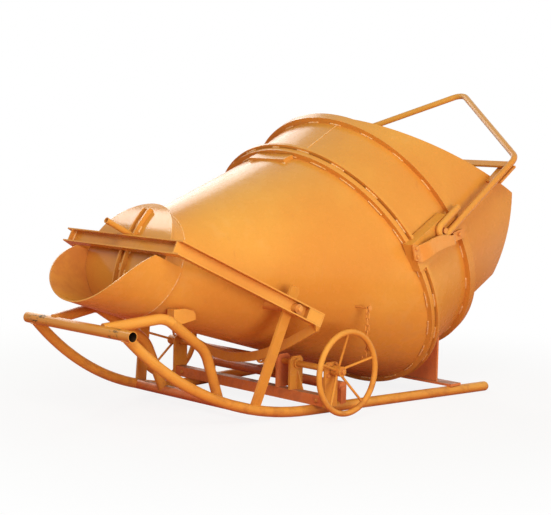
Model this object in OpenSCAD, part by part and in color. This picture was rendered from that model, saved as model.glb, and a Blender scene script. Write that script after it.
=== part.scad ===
// Lay-down concrete bucket on splayed pipe skids.
// A sloping cone-and-drum shell feeds a round radial gate at the low front outlet.
// The gate hangs on a U-shaped channel lever that swings on two flat side legs.
// Two handwheels on a cross shaft drive the lever through a crank and a link.
// A bent-rod bail lifts the bucket from two eyes at the drum sides.
// Lengths in millimetres, angles in degrees. +Z is up, +X points to the filling mouth.
// Origin: middle of the footprint, at ground level.

/* [Skid frame] */
// outer diameter of the skid pipe
pipe_od = 48.3; // [44:0.1:52]
// wall of the open front cross pipe
pipe_wall = 3.6; // [2:0.1:6]
// half width between the runner axes at the front cross pipe
runner_front_half = 322; // [312:1:332]
// splay of each runner, wider to the rear
runner_splay = 6.4; // [5.8:0.1:7]
// radius of the runner's front sweep
runner_bend_radius = 1380; // [1340:1:1420]
// height of the front cross pipe's axis
front_z = 444.8; // [438:0.2:450]
// length of a runner along its own plane
runner_length = 2196; // [2120:1:2260]
// length of the front cross pipe
front_tube_length = 746; // [720:1:800]
// position of the bottom cross pipe behind the front cross pipe
bottom_tube_x = 655; // [640:1:675]
// position of the middle cross pipe behind the front cross pipe
mid_tube_x = 1190; // [1180:1:1210]
// height of the middle cross pipe's axis
mid_tube_z = 118; // [112:1:122]

/* [Cradle hoops] */
// half spacing of the hoops where they leave the front cross pipe
hoop_front_half = 175; // [160:1:185]
// outward yaw of a hoop's front arm
hoop_yaw = 12.2; // [11:0.1:13]
// half spacing of the hoop feet on the bottom cross pipe
hoop_foot_half = 195; // [185:1:205]
// length of the straight front arm
hoop_arm_length = 255; // [248:1:262]

/* [Shell] */
// outer radius of the drum
shell_r = 663; // [658:0.5:668]
// plate thickness of the shell
shell_wall = 6; // [4:0.5:8]
// slope of the drum axis above level
body_tilt = 29.2; // [28.8:0.1:29.6]
// drum length between the front face of the first hoop and the back of the rear hoop
drum_length = 372; // [366:1:380]
// outer radius of the outlet neck
neck_r = 246; // [240:0.5:250]
// slope of the outlet neck above level
neck_tilt = 22.5; // [21.5:0.1:23.5]
// position of the mouth's upright back plate
mouth_back_x = 2200; // [2185:1:2215]
// height of the corner between the back plate and the open mouth
mouth_corner_z = 1020; // [1000:1:1035]
// slope of the open mouth, falling to the rear
mouth_slope = 27.9; // [27:0.1:29]

/* [Outlet chute] */
// outer radius of the chute at its back
chute_back_r = 264; // [262:0.5:268]
// growth of the chute's radius for each length forward
chute_flare_share = 0.08; // [0.07:0.005:0.09]
// radius of the round side profile of the chute's lip
chute_lip_arc_r = 355; // [350:1:362]
// distance from the gate pivot to the middle of the lip's round profile
chute_arc_back = 430; // [424:1:436]
// drop of the middle of the lip's round profile below the chute's axis
chute_arc_drop = 287; // [280:1:294]

/* [Gate and lever] */
// inner radius of the gate plate about its pivot
gate_radius = 568; // [564:0.5:574]
// thickness of the gate plate
gate_thickness = 8; // [6:0.5:10]
// radius of the gate's round outline
gate_outline_r = 268; // [262:0.5:272]
// slope of the lever arms above level with the gate shut
arm_tilt = 26.9; // [26:0.1:27.5]
// height of the gate's ribs
gate_rib_height = 22; // [19:0.5:26]
// height of the lever channel's section
channel_height = 64; // [58:1:68]
// depth of the lever channel's flanges
channel_depth = 38; // [32:1:42]
// half spacing of the lever channels at the front
lever_front_half = 374; // [368:1:380]
// half spacing of the lever channels at the pivot
lever_pivot_half = 528; // [524:1:532]
// outer diameter of the lever's bar socket
socket_od = 26.9; // [24:0.1:30]
// inner diameter of the lever's bar socket
socket_bore_d = 20; // [16:0.5:21.5]

/* [Handwheels and drive] */
// outer radius of a handwheel
wheel_r = 200; // [190:1:206]
// thickness of the handwheel's round rim
wheel_rim_d = 27; // [22:0.5:29]
// diameter of a handwheel spoke
spoke_d = 12; // [9:0.5:15]
// diameter of the cross shaft
shaft_d = 30; // [24:0.5:32]
// distance from the shaft axis to the crank pin
crank_throw = 94; // [90:0.5:95]
// diameter of the crank pin
crank_pin_d = 20; // [14:0.5:22]

/* [Bail] */
// diameter of the bail rod
bail_rod_d = 32; // [28:0.5:33]
// gap from the drum's shell to the axis of a bail leg
bail_side_gap = 52; // [51.5:0.25:53]
// slope of the bail at rest above level
bail_tilt = 34.3; // [34:0.1:34.6]
// length of a bail leg from the eye pin to its shoulder bend
bail_leg = 612; // [600:1:625]
// bend of each bail shoulder
bail_shoulder_bend = 51; // [49:0.5:53]
// diameter of the bail's eye pin
eye_pin_d = 28; // [24:0.5:30]

/* [Hidden] */
$fn = 128;

// shared small values
overrun = 1;
half_span = 2000;
run_clear = 0.05;
loose_clear = 0.5;
seat_gap = 0.3;
hull_lip = 0.5;
bend_step = 0.3;
bend_lap = 3;
cope_trim = 9;
facets = 80;
paint = [0.86, 0.52, 0.16];
paint_light = [0.9, 0.6, 0.25];
paint_dark = [0.66, 0.3, 0.14];

// skid places
pipe_r = pipe_od / 2;
runner_bend_run = sqrt(pow(runner_bend_radius, 2) - pow(runner_bend_radius + pipe_r - front_z, 2));
bend_angle = asin(runner_bend_run / runner_bend_radius);
function lap_angle(r) = asin(bend_lap / r);
runner_trim_angle = asin(cope_trim / runner_bend_radius);
function runner_half(x) = runner_front_half + x * tan(runner_splay);
function runner_z(x) = pipe_r + runner_bend_radius
    - sqrt(pow(runner_bend_radius, 2) - pow(max(0, runner_bend_run - x / cos(runner_splay)), 2));
bottom_tube_z = runner_z(bottom_tube_x);
mid_tube_half = 470;
mid_foot_width = 40;
mid_foot_length = 36;
rear_bar_x = 1896;
rear_bar_width = 80;
rear_bar_thickness = 12;
rear_bar_half = 556;
rear_saddle_inset = 14;
rear_saddle_half = 450;
rear_saddle_height = 230;

// hoop places
hoop_start_rise = 11;
hoop_climb = 6;
hoop_fall = 33;
hoop_drop = 67;
hoop_bend_r = 110;
hoop_knee_r = 160;
hoop_crest_run = hoop_arm_length * cos(hoop_climb) + hoop_bend_r * (sin(hoop_fall) + sin(hoop_climb));
hoop_crest_rise = hoop_arm_length * sin(hoop_climb) + hoop_bend_r * (cos(hoop_fall) - cos(hoop_climb));
hoop_mid = [hoop_crest_run * cos(hoop_yaw), hoop_front_half + hoop_crest_run * sin(hoop_yaw),
    front_z + hoop_start_rise + hoop_crest_rise];
hoop_back_run = norm([bottom_tube_x - hoop_mid[0], hoop_foot_half - hoop_mid[1]]);
hoop_back_yaw = atan2(hoop_foot_half - hoop_mid[1], bottom_tube_x - hoop_mid[0]);
hoop_back_drop = hoop_mid[2] - bottom_tube_z;
hoop_rest_run = hoop_back_run - hoop_knee_r * (sin(hoop_drop) - sin(hoop_fall));
hoop_rest_drop = hoop_back_drop - hoop_knee_r * (cos(hoop_fall) - cos(hoop_drop));
hoop_turn = sin(hoop_drop - hoop_fall);
hoop_slope_length = (hoop_rest_run * sin(hoop_drop) - hoop_rest_drop * cos(hoop_drop)) / hoop_turn;
hoop_leg_length = (hoop_rest_drop * cos(hoop_fall) - hoop_rest_run * sin(hoop_fall)) / hoop_turn;
hoop_lap = 20;
hoop_reach = 300;
hoop_mitre_yaw = (hoop_yaw + hoop_back_yaw) / 2;
hoop_mitre_fall = atan(tan(hoop_fall) / cos((hoop_yaw - hoop_back_yaw) / 2));
saddle_x = 344;
saddle_length = 126;
saddle_y = 186;
saddle_width = 46;
saddle_z = 432;
saddle_height = 86;

// shell places
ring_x = 1502;
ring_z = 609;
cone_big_r = shell_r - shell_wall / 2;
pivot_x = 788;
pivot_z = 524;
neck_back = 455;
neck_seat_r = gate_radius - loose_clear;
flat_drop = 350;
front_ring_width = 24;
front_ring_height = 25;
second_ring_start = 32;
second_ring_width = 16;
second_ring_height = 38;
rear_ring_width = 45;
rear_ring_height = 28;
top_pad_length = 66;
top_pad_half = 118;
top_pad_gap = 6;
top_pad_rise = 9;
top_pad_depth = 30;
ring_top = [ring_x - cone_big_r * sin(body_tilt), ring_z + cone_big_r * cos(body_tilt)];
neck_top = [pivot_x - neck_back * cos(neck_tilt) + neck_r * sin(neck_tilt),
    pivot_z + neck_back * sin(neck_tilt) + neck_r * cos(neck_tilt)];
top_slope = atan2(ring_top[1] - neck_top[1], ring_top[0] - neck_top[0]);

// chute places
chute_back = 465;
chute_rear_wall = 6;
chute_length = 400;
chute_front_r = chute_back_r + chute_flare_share * chute_length;
chute_lip_r = chute_back_r + chute_flare_share * (chute_arc_back + chute_lip_arc_r - chute_back);
chute_lip = chute_arc_back + sqrt(pow(chute_lip_arc_r, 2) - pow(chute_lip_r - chute_arc_drop, 2));
gate_chute_clear = 1.5;

// leg and pivot places
leg_width = 58;
leg_thickness = 12;
leg_foot_x = 686;
leg_foot_half = 403;
leg_lean_back = 13.1;
leg_lean_out = 11.3;
leg_length = 560;
leg_sink = 40;
leg_corner_r = 22;
pivot_pin_d = 30;
pivot_boss_d = 46;
pivot_boss_start = 340;
pivot_head_d = 44;
pivot_head_width = 12;
arm_boss_inner = 520;
arm_boss_outer = 548;
pivot_collar_half = arm_boss_inner - loose_clear;
pivot_head_half = arm_boss_outer + loose_clear;

// lever places
channel_wall = 6;
arm_tail = 140;
rib_seat = 5;
arm_length = gate_radius + gate_thickness + gate_rib_height - rib_seat;
arm_yaw = atan((lever_pivot_half - lever_front_half) / arm_length);
arm_span = (arm_length + channel_depth) / cos(arm_yaw) + channel_depth * tan(arm_yaw) + overrun;
gate_rib_width = 8;
gate_rib_half = 20;
gate_rib_span = 232;
socket_length = 150;
socket_overlap = 8;
socket_bore_depth = 20;
bow_x = 880;
bow_thickness = 8;
bow_flange = 20;
bow_height = 46;
bow_top_half = 575;
bow_top_z = 415;
bow_knee_half = 354;
bow_knee_z = 293;
bow_floor_half = 150;
bow_floor_z = 206;
lug_x = 945;
lug_z = 240;
lug_y = 158;
lug_thickness = 12;
lug_eye_r = 20;
lug_pin_d = 16;
lug_root = 26;

// drive places
shaft_x = 1043;
shaft_z = 221;
shaft_half = 600;
wheel_half = 629;
wheel_hub_half = 599;
wheel_hub_length = 50;
wheel_hub_d = 48;
spoke_count = 5;
spoke_start = 20;
spoke_turn = 18;
bearing_thickness = 12;
bearing_width = 84;
bearing_top_z = 256;
bearing_chamfer = 16;
bearing_outer_half = 525;
bearing_inner_half = 300;
bearing_post_half = 215;
bearing_foot_z = 98.3;
bearing_bush_d = 46;
bearing_bush_width = 10;
gusset_length = 40;
gusset_height = 90;
beam_x = 1010;
beam_size = 50;
beam_wall = 6;
crank_y = 186;
crank_width = 12;
crank_hub_d = 52;
crank_eye_d = 40;
crank_web = 30;
crank_rest = 72;
crank_pin_x = shaft_x + crank_throw * cos(crank_rest);
crank_pin_z = shaft_z - crank_throw * sin(crank_rest);
link_y = 172;
link_width = 10;
link_web = 22;
link_eye_r = 18;
link_lug_eye_r = 28;
link_lug_hole_r = 20;
link_angle = atan2(lug_z - crank_pin_z, lug_x - crank_pin_x);
link_length = norm([lug_x - crank_pin_x, lug_z - crank_pin_z]);

// bail places
eye_x = 1590;
eye_z = 854;
bail_half = shell_r + bail_side_gap;
rod_r = bail_rod_d / 2;
eye_r = eye_pin_d / 2 + loose_clear + rod_r;
bail_shoulder_r = 90;
bail_apex_r = 70;
bail_tail = 150;
bail_apex_centre = bail_leg + (bail_shoulder_r - bail_apex_r) * sin(bail_shoulder_bend)
    + (bail_half - bail_shoulder_r + (bail_shoulder_r - bail_apex_r) * cos(bail_shoulder_bend))
    / tan(bail_shoulder_bend);
bail_slant = (bail_apex_centre - bail_leg + (bail_apex_r - bail_shoulder_r) * sin(bail_shoulder_bend))
    / cos(bail_shoulder_bend);
spreader_width = 40;
spreader_thickness = 12;
spreader_back = 0;
eye_plate_inner = 640;
eye_plate_outer = bail_half - rod_r - 2 * loose_clear;
eye_plate_low = 70;
eye_plate_tab = 40;
eye_plate_high = 218;
eye_plate_start = -14;
eye_plate_shoulder = 270;
eye_plate_end = 376;
keeper_tilt = 16;
keeper_thickness = 10;
keeper_back = 206;
keeper_ramp_back = 150;
keeper_flat_back = 95;
keeper_flat_front = 45;
keeper_ramp_front = 78;
keeper_front = 122;
keeper_low_back = 92;
keeper_high_back = 15;
keeper_high_front = 38;
keeper_low_front = 82;
keeper_reach = 200;
keeper_inner = bail_half + rod_r + 3 * loose_clear;
keeper_screw_d = 22;
keeper_screw_height = 10;
rest_near = 470;
rest_far = 610;
rest_thickness = 10;
rest_outer = bail_half + rod_r + 4 * loose_clear;
rest_inner = 600;

// chain places
chain_stud_d = 8;
chain_stud_head_d = 22;
chain_stud_head = 6;
chain_stud_x = 1212;
chain_stud_z = 500;
chain_y = 590;
chain_wire = 6;
chain_inner = 28.3;
chain_gap = 0.3;
chain_bend_r = 7.6;
chain_links = 7;
chain_stud_tip = 10;
chain_stud_in = 500;

// footprint middle
lip_x = pivot_x - chute_lip * cos(neck_tilt) - chute_lip_r * sin(neck_tilt);
apex_x = eye_x + (bail_apex_centre + bail_apex_r) * cos(bail_tilt) + eye_r * sin(bail_tilt) + rod_r - bend_step;
centre_x = (lip_x + apex_x) / 2;

module place() {
    translate([-centre_x, 0, 0])
        children();
}

module far_side() {
    mirror([0, 1, 0])
        children();
}

module along_y(x, z, y0, y1, r) {
    translate([x, y0, z])
        rotate([-90, 0, 0])
            cylinder(h = y1 - y0, r = r);
}

module bar_between(a, b, r) {
    d = b - a;
    translate(a)
        rotate([0, acos(d[2] / norm(d)), atan2(d[1], d[0])])
            cylinder(h = norm(d), r = r);
}

module side_plate(y0, y1) {
    translate([0, y1, 0])
        rotate([90, 0, 0])
            linear_extrude(height = y1 - y0)
                children();
}

module on_drum() {
    translate([ring_x, 0, ring_z])
        rotate([0, 90 - body_tilt, 0])
            children();
}

module on_neck() {
    translate([pivot_x, 0, pivot_z])
        rotate([0, neck_tilt - 90, 0])
            children();
}

module on_lever() {
    translate([pivot_x, 0, pivot_z])
        rotate([0, arm_tilt, 0])
            children();
}

module on_bail() {
    translate([eye_x, 0, eye_z])
        rotate([0, -bail_tilt, 0])
            children();
}

// skid pieces, near side drawn at -Y
module runner_bar() {
    translate([0, -runner_front_half, 0])
        rotate([0, 0, -runner_splay]) {
            translate([runner_bend_run, 0, runner_bend_radius + pipe_r])
                rotate([90, 0, 0])
                    rotate([0, 0, 270 - bend_angle + runner_trim_angle])
                        rotate_extrude(angle = bend_angle - runner_trim_angle + lap_angle(runner_bend_radius))
                            translate([runner_bend_radius, 0])
                                circle(r = pipe_r - bend_step);
            translate([runner_bend_run, 0, pipe_r])
                rotate([0, 90, 0])
                    cylinder(h = runner_length - runner_bend_run - pipe_r, r = pipe_r);
            translate([runner_length - pipe_r, 0, pipe_r])
                sphere(r = pipe_r);
        }
}

module runner() {
    difference() {
        runner_bar();
        along_y(0, front_z, -half_span, half_span, pipe_r);
    }
}

module runner_r() {
    color(paint) place() runner();
}

module runner_l() {
    color(paint) place() far_side() runner();
}

module front_cross_tube() {
    color(paint) place()
        difference() {
            along_y(0, front_z, -front_tube_length / 2, front_tube_length / 2, pipe_r);
            along_y(0, front_z, -half_span, half_span, pipe_r - pipe_wall);
        }
}

module bottom_tube_bar() {
    along_y(bottom_tube_x, bottom_tube_z, -runner_half(bottom_tube_x), runner_half(bottom_tube_x), pipe_r);
}

module bottom_cross_tube() {
    color(paint_dark) place()
        difference() {
            bottom_tube_bar();
            runner_bar();
            far_side() runner_bar();
        }
}

module hoop_bend(r, from, to) {
    rotate([90, 0, 0])
        translate([0, -r, 0])
            rotate([0, 0, 90 - to - lap_angle(r)])
                rotate_extrude(angle = to - from + 2 * lap_angle(r))
                    translate([r, 0])
                        circle(r = pipe_r - bend_step);
}

module hoop_mitre(side) {
    translate([hoop_mid[0], -hoop_mid[1], hoop_mid[2]])
        rotate([0, 90 + hoop_mitre_fall, -hoop_mitre_yaw])
            mirror([0, 0, side])
                translate([-hoop_reach, -hoop_reach, 0])
                    cube([2 * hoop_reach, 2 * hoop_reach, hoop_reach]);
}

module hoop_front_bar() {
    difference() {
        translate([0, -hoop_front_half, front_z + hoop_start_rise])
            rotate([0, 0, -hoop_yaw]) {
                rotate([0, 90 - hoop_climb, 0])
                    cylinder(h = hoop_arm_length, r = pipe_r);
                translate([hoop_arm_length * cos(hoop_climb) + hoop_bend_r * sin(hoop_climb), 0,
                    hoop_arm_length * sin(hoop_climb) + hoop_bend_r * (1 - cos(hoop_climb))])
                    hoop_bend(hoop_bend_r, -hoop_climb, hoop_fall);
                translate([hoop_crest_run, 0, hoop_crest_rise])
                    rotate([0, 90 + hoop_fall, 0])
                        cylinder(h = hoop_lap, r = pipe_r);
            }
        hoop_mitre(0);
    }
}

module hoop_back_bar() {
    difference() {
        translate([hoop_mid[0], -hoop_mid[1], hoop_mid[2]])
            rotate([0, 0, -hoop_back_yaw]) {
                rotate([0, 90 + hoop_fall, 0])
                    translate([0, 0, -hoop_lap])
                        cylinder(h = hoop_slope_length + hoop_lap, r = pipe_r);
                translate([hoop_slope_length * cos(hoop_fall) - hoop_knee_r * sin(hoop_fall), 0,
                    -hoop_slope_length * sin(hoop_fall) + hoop_knee_r * (1 - cos(hoop_fall))])
                    hoop_bend(hoop_knee_r, hoop_fall, hoop_drop);
                translate([hoop_slope_length * cos(hoop_fall)
                    + hoop_knee_r * (sin(hoop_drop) - sin(hoop_fall)), 0,
                    -hoop_slope_length * sin(hoop_fall) - hoop_knee_r * (cos(hoop_fall) - cos(hoop_drop))])
                    rotate([0, 90 + hoop_drop, 0])
                        cylinder(h = hoop_leg_length, r = pipe_r);
            }
        hoop_mitre(1);
    }
}

module hoop_front() {
    difference() {
        hoop_front_bar();
        along_y(0, front_z, -half_span, half_span, pipe_r);
    }
}

module hoop_back() {
    difference() {
        hoop_back_bar();
        bottom_tube_bar();
    }
}

module hoop_front_r() {
    color(paint) place() hoop_front();
}

module hoop_front_l() {
    color(paint) place() far_side() hoop_front();
}

module hoop_back_r() {
    color(paint) place() hoop_back();
}

module hoop_back_l() {
    color(paint) place() far_side() hoop_back();
}

module saddle() {
    difference() {
        translate([saddle_x, -saddle_y - saddle_width, saddle_z])
            cube([saddle_length, saddle_width, saddle_height]);
        hoop_front_bar();
        hoop_back_bar();
        cone_solid();
        chute_solid();
    }
}

module saddle_r() {
    color(paint_light) place() saddle();
}

module saddle_l() {
    color(paint_light) place() far_side() saddle();
}

module leg_face() {
    difference() {
        translate([-leg_width / 2, -leg_sink])
            square([leg_width, leg_length + leg_sink]);
        translate([leg_width / 2 - leg_corner_r, leg_length - leg_corner_r])
            square(leg_corner_r + overrun);
    }
    translate([leg_width / 2 - leg_corner_r, leg_length - leg_corner_r])
        circle(r = leg_corner_r);
}

module leg_slab() {
    translate([leg_foot_x, -leg_foot_half, runner_z(leg_foot_x) + pipe_r])
        rotate([leg_lean_out, 0, 0])
            rotate([0, leg_lean_back, 0])
                side_plate(-leg_thickness / 2, leg_thickness / 2)
                    leg_face();
}

module leg() {
    difference() {
        leg_slab();
        runner_bar();
        translate([0, -half_span, 0])
            cube([half_span, 2 * half_span, runner_z(leg_foot_x)]);
        along_y(pivot_x, pivot_z, -half_span, 0, pivot_pin_d / 2);
    }
}

module leg_r() {
    color(paint) place() leg();
}

module leg_l() {
    color(paint) place() far_side() leg();
}

module pivot() {
    difference() {
        union() {
            difference() {
                along_y(pivot_x, pivot_z, -pivot_collar_half, -pivot_boss_start, pivot_boss_d / 2);
                leg_slab();
            }
            along_y(pivot_x, pivot_z, -pivot_head_half, -pivot_boss_start, pivot_pin_d / 2);
            along_y(pivot_x, pivot_z, -pivot_head_half - pivot_head_width, -pivot_head_half, pivot_head_d / 2);
        }
        cone_solid();
    }
}

module pivot_r() {
    color(paint_light) place() pivot();
}

module pivot_l() {
    color(paint_light) place() far_side() pivot();
}

module beam() {
    color(paint_dark) place()
        translate([beam_x, bearing_outer_half - bearing_thickness / 2, 2 * pipe_r])
            rotate([90, 0, 0])
                linear_extrude(height = 2 * bearing_outer_half - bearing_thickness) {
                    square([beam_wall, beam_size]);
                    translate([0, beam_size - beam_wall])
                        square([beam_size, beam_wall]);
                }
}

module bearing_face(foot) {
    left = shaft_x - bearing_width / 2;
    right = shaft_x + bearing_width / 2;
    difference() {
        polygon([[left, foot], [right, foot], [right, bearing_top_z - bearing_chamfer],
            [right - bearing_chamfer, bearing_top_z], [left + bearing_chamfer, bearing_top_z],
            [left, bearing_top_z - bearing_chamfer]]);
        translate([shaft_x, shaft_z])
            circle(r = shaft_d / 2 + run_clear);
    }
}

module bearing(half, foot) {
    side_plate(-half - bearing_thickness / 2, -half + bearing_thickness / 2)
        bearing_face(foot);
    side_plate(-half - bearing_thickness / 2 - bearing_bush_width, -half - bearing_thickness / 2)
        difference() {
            translate([shaft_x, shaft_z])
                circle(r = bearing_bush_d / 2);
            translate([shaft_x, shaft_z])
                circle(r = shaft_d / 2 + run_clear);
        }
}

module bearing_outer_r() {
    color(paint) place() bearing(bearing_outer_half, 2 * pipe_r);
}

module bearing_outer_l() {
    color(paint) place() far_side() bearing(bearing_outer_half, 2 * pipe_r);
}

module bearing_inner_r() {
    color(paint) place() {
        bearing(bearing_inner_half, bearing_foot_z);
        translate([beam_x + beam_size - beam_wall, -bearing_inner_half - bearing_thickness / 2, bearing_foot_z])
            rotate([90, 0, -90])
                linear_extrude(height = beam_wall)
                    polygon([[0, 0], [gusset_length, 0], [0, gusset_height]]);
    }
}

module bearing_post_r() {
    color(paint_dark) place()
        side_plate(-bearing_post_half - bearing_thickness / 2, -bearing_post_half + bearing_thickness / 2)
            bearing_face(bearing_foot_z);
}

module mid_foot() {
    translate([mid_tube_x - mid_foot_length / 2, -runner_half(mid_tube_x) - mid_foot_width / 2, pipe_r])
        cube([mid_foot_length, mid_foot_width, mid_tube_z - pipe_r]);
}

module mid_cross_tube() {
    color(paint_dark) place()
        difference() {
            union() {
                along_y(mid_tube_x, mid_tube_z, -mid_tube_half, mid_tube_half, pipe_r);
                mid_foot();
                far_side() mid_foot();
            }
            runner_bar();
            far_side() runner_bar();
        }
}

module rear_cross_bar() {
    color(paint_dark) place()
        translate([rear_bar_x, -rear_bar_half, 2 * pipe_r])
            cube([rear_bar_width, 2 * rear_bar_half, rear_bar_thickness]);
}

module rear_saddle() {
    color(paint_dark) place()
        difference() {
            translate([rear_bar_x + rear_saddle_inset, -rear_saddle_half, 2 * pipe_r + rear_bar_thickness])
                cube([rear_bar_thickness, 2 * rear_saddle_half, rear_saddle_height]);
            drum_solid();
        }
}

// shell pieces
module cone_between(near_r, far_r, extra) {
    hull() {
        on_neck()
            translate([0, 0, neck_back - hull_lip])
                cylinder(h = hull_lip + extra, r = near_r, $fn = facets);
        on_drum()
            translate([0, 0, -hull_lip])
                cylinder(h = hull_lip + extra, r = far_r, $fn = facets);
    }
}

module cone_solid() {
    cone_between(neck_r, cone_big_r, 0);
}

module cone() {
    color(paint) place()
        difference() {
            cone_solid();
            cone_between(neck_r - shell_wall, cone_big_r - shell_wall, overrun);
        }
}

module neck() {
    color(paint) place()
        difference() {
            on_neck()
                translate([0, 0, neck_back])
                    cylinder(h = gate_radius - neck_back, r = neck_r);
            on_neck()
                translate([0, 0, neck_back - overrun])
                    cylinder(h = gate_radius, r = neck_r - shell_wall);
            difference() {
                along_y(pivot_x, pivot_z, -half_span, half_span, half_span);
                along_y(pivot_x, pivot_z, -half_span - overrun, half_span + overrun, neck_seat_r);
            }
        }
}

module drum_ring(start, width, inner, outer) {
    on_drum()
        translate([0, 0, start])
            difference() {
                cylinder(h = width, r = outer);
                translate([0, 0, -overrun])
                    cylinder(h = width + 2 * overrun, r = inner);
            }
}

module drum_disc(start, width, outer) {
    on_drum()
        translate([0, 0, start])
            cylinder(h = width, r = outer);
}

module drum_solid() {
    drum_disc(0, drum_length, shell_r);
    drum_disc(0, front_ring_width, shell_r + front_ring_height);
    drum_disc(second_ring_start, second_ring_width, shell_r + second_ring_height);
    drum_disc(drum_length - rear_ring_width, rear_ring_width, shell_r + rear_ring_height);
}

module drum() {
    color(paint) place() drum_ring(0, drum_length, shell_r - shell_wall, shell_r);
}

module hoop_ring_front() {
    color(paint_dark) place() drum_ring(0, front_ring_width, shell_r, shell_r + front_ring_height);
}

module hoop_ring_second() {
    color(paint_dark) place()
        drum_ring(second_ring_start, second_ring_width, shell_r, shell_r + second_ring_height);
}

module hoop_ring_rear() {
    color(paint_dark) place()
        drum_ring(drum_length - rear_ring_width, rear_ring_width, shell_r, shell_r + rear_ring_height);
}

module mouth_block(r, flat, back, start) {
    difference() {
        drum_disc(start, half_span, r);
        on_drum()
            translate([flat, -half_span, 0])
                cube([half_span, 2 * half_span, 2 * half_span]);
        translate([back, -half_span, 0])
            cube([half_span, 2 * half_span, 2 * half_span]);
        mouth_cut();
    }
}

module mouth_cut() {
    translate([mouth_back_x, 0, mouth_corner_z])
        rotate([0, mouth_slope, 0])
            translate([-half_span, -half_span, 0])
                cube([2 * half_span, 2 * half_span, half_span]);
}

module mouth_hollow() {
    difference() {
        drum_disc(drum_length - overrun, half_span, shell_r - shell_wall);
        on_drum()
            translate([flat_drop - shell_wall, -half_span, 0])
                cube([half_span, 2 * half_span, 2 * half_span]);
    }
}

module mouth_shell() {
    color(paint) place()
        difference() {
            union() {
                mouth_block(shell_r, flat_drop, mouth_back_x - shell_wall, drum_length);
                drum_disc(drum_length, shell_wall, shell_r);
            }
            mouth_hollow();
            mouth_cut();
        }
}

module mouth_back() {
    color(paint) place()
        difference() {
            mouth_block(shell_r, flat_drop, mouth_back_x, drum_length);
            translate([mouth_back_x - shell_wall - half_span, -half_span, -half_span])
                cube([half_span, 2 * half_span, 2 * half_span]);
        }
}

module top_pad() {
    color(paint_light) place()
        difference() {
            translate([ring_top[0], 0, ring_top[1]])
                rotate([0, -top_slope, 0])
                    translate([-top_pad_length - top_pad_gap, -top_pad_half, -top_pad_depth])
                        cube([top_pad_length, 2 * top_pad_half, top_pad_depth + top_pad_rise]);
            cone_solid();
        }
}

module chute_cone(inset, start) {
    on_neck()
        translate([0, 0, start])
            cylinder(h = chute_length, r1 = chute_back_r - inset, r2 = chute_front_r - inset);
}

module chute_solid() {
    difference() {
        intersection() {
            chute_cone(0, chute_back);
            on_neck()
                translate([-chute_arc_drop, 0, chute_arc_back])
                    rotate([90, 0, 0])
                        cylinder(h = half_span, r = chute_lip_arc_r, center = true, $fn = 2 * facets);
        }
        on_neck()
            translate([0, -half_span, -half_span])
                cube(2 * half_span);
    }
}

module chute() {
    color(paint) place()
        difference() {
            chute_solid();
            difference() {
                chute_cone(shell_wall, chute_back);
                on_neck()
                    translate([0, 0, chute_back])
                        cylinder(h = 2 * chute_rear_wall, r = chute_back_r, center = true);
            }
            on_neck()
                cylinder(h = gate_radius, r = neck_r);
        }
}

module bail_rest() {
    difference() {
        on_bail()
            translate([rest_near, -rest_outer, -eye_r - rod_r - loose_clear - rest_thickness])
                cube([rest_far - rest_near, rest_outer - rest_inner, rest_thickness]);
        drum_disc(0, half_span, shell_r);
    }
}

module bail_rest_r() {
    color(paint_light) place() bail_rest();
}

module bail_rest_l() {
    color(paint_light) place() far_side() bail_rest();
}

module on_axis() {
    translate([ring_x, 0, ring_z])
        rotate([0, -body_tilt, 0])
            children();
}

module eye_plate() {
    difference() {
        on_axis()
            side_plate(-eye_plate_outer, -eye_plate_inner)
                polygon([[eye_plate_start, eye_plate_low], [eye_plate_end, eye_plate_low],
                    [eye_plate_end, eye_plate_low + eye_plate_tab], [eye_plate_shoulder, eye_plate_high],
                    [eye_plate_start, eye_plate_high]]);
        drum_solid();
        drum_disc(0, half_span, shell_r);
        cone_solid();
    }
}

module eye_plate_r() {
    color(paint) place() eye_plate();
}

module eye_plate_l() {
    color(paint) place() far_side() eye_plate();
}

module on_keeper() {
    translate([eye_x, 0, eye_z])
        rotate([0, -keeper_tilt, 0])
            children();
}

module keeper_bow(lift) {
    polygon([[-keeper_back, -eye_plate_outer - lift], [-keeper_ramp_back, -eye_plate_outer - lift],
        [-keeper_flat_back, -keeper_inner - lift], [keeper_flat_front, -keeper_inner - lift],
        [keeper_ramp_front, -eye_plate_outer - lift], [keeper_front, -eye_plate_outer - lift],
        [keeper_front, 0], [-keeper_back, 0]]);
}

module keeper() {
    on_keeper()
        intersection() {
            translate([0, 0, -keeper_reach])
                linear_extrude(height = 2 * keeper_reach)
                    difference() {
                        keeper_bow(keeper_thickness);
                        keeper_bow(0);
                        translate([-half_span, -eye_plate_outer])
                            square([2 * half_span, half_span]);
                    }
            side_plate(-half_span, 0)
                polygon([[-keeper_back, -keeper_low_back], [-keeper_back, keeper_high_back],
                    [-keeper_flat_back, 0], [keeper_flat_front, -keeper_high_front],
                    [keeper_front, -keeper_high_front], [keeper_front, -keeper_low_front],
                    [keeper_flat_front, -keeper_low_front], [-keeper_flat_back, -keeper_low_back]]);
        }
}

module keeper_r() {
    color(paint_light) place() keeper();
}

module keeper_l() {
    color(paint_light) place() far_side() keeper();
}

module keeper_screw(x, z) {
    on_keeper()
        translate([x, -eye_plate_outer - keeper_thickness, z])
            rotate([90, 0, 0])
                cylinder(h = keeper_screw_height, r = keeper_screw_d / 2, $fn = 6);
}

module keeper_screw_set() {
    keeper_screw((keeper_ramp_front + keeper_front) / 2, -(keeper_high_front + keeper_low_front) / 2);
    keeper_screw(-(keeper_ramp_back + keeper_back) / 2, -keeper_low_back + keeper_screw_d);
    keeper_screw(-(keeper_ramp_back + keeper_back) / 2, -keeper_screw_d / 2);
}

module keeper_screws() {
    color(paint_light) place() {
        keeper_screw_set();
        far_side() keeper_screw_set();
    }
}

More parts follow.
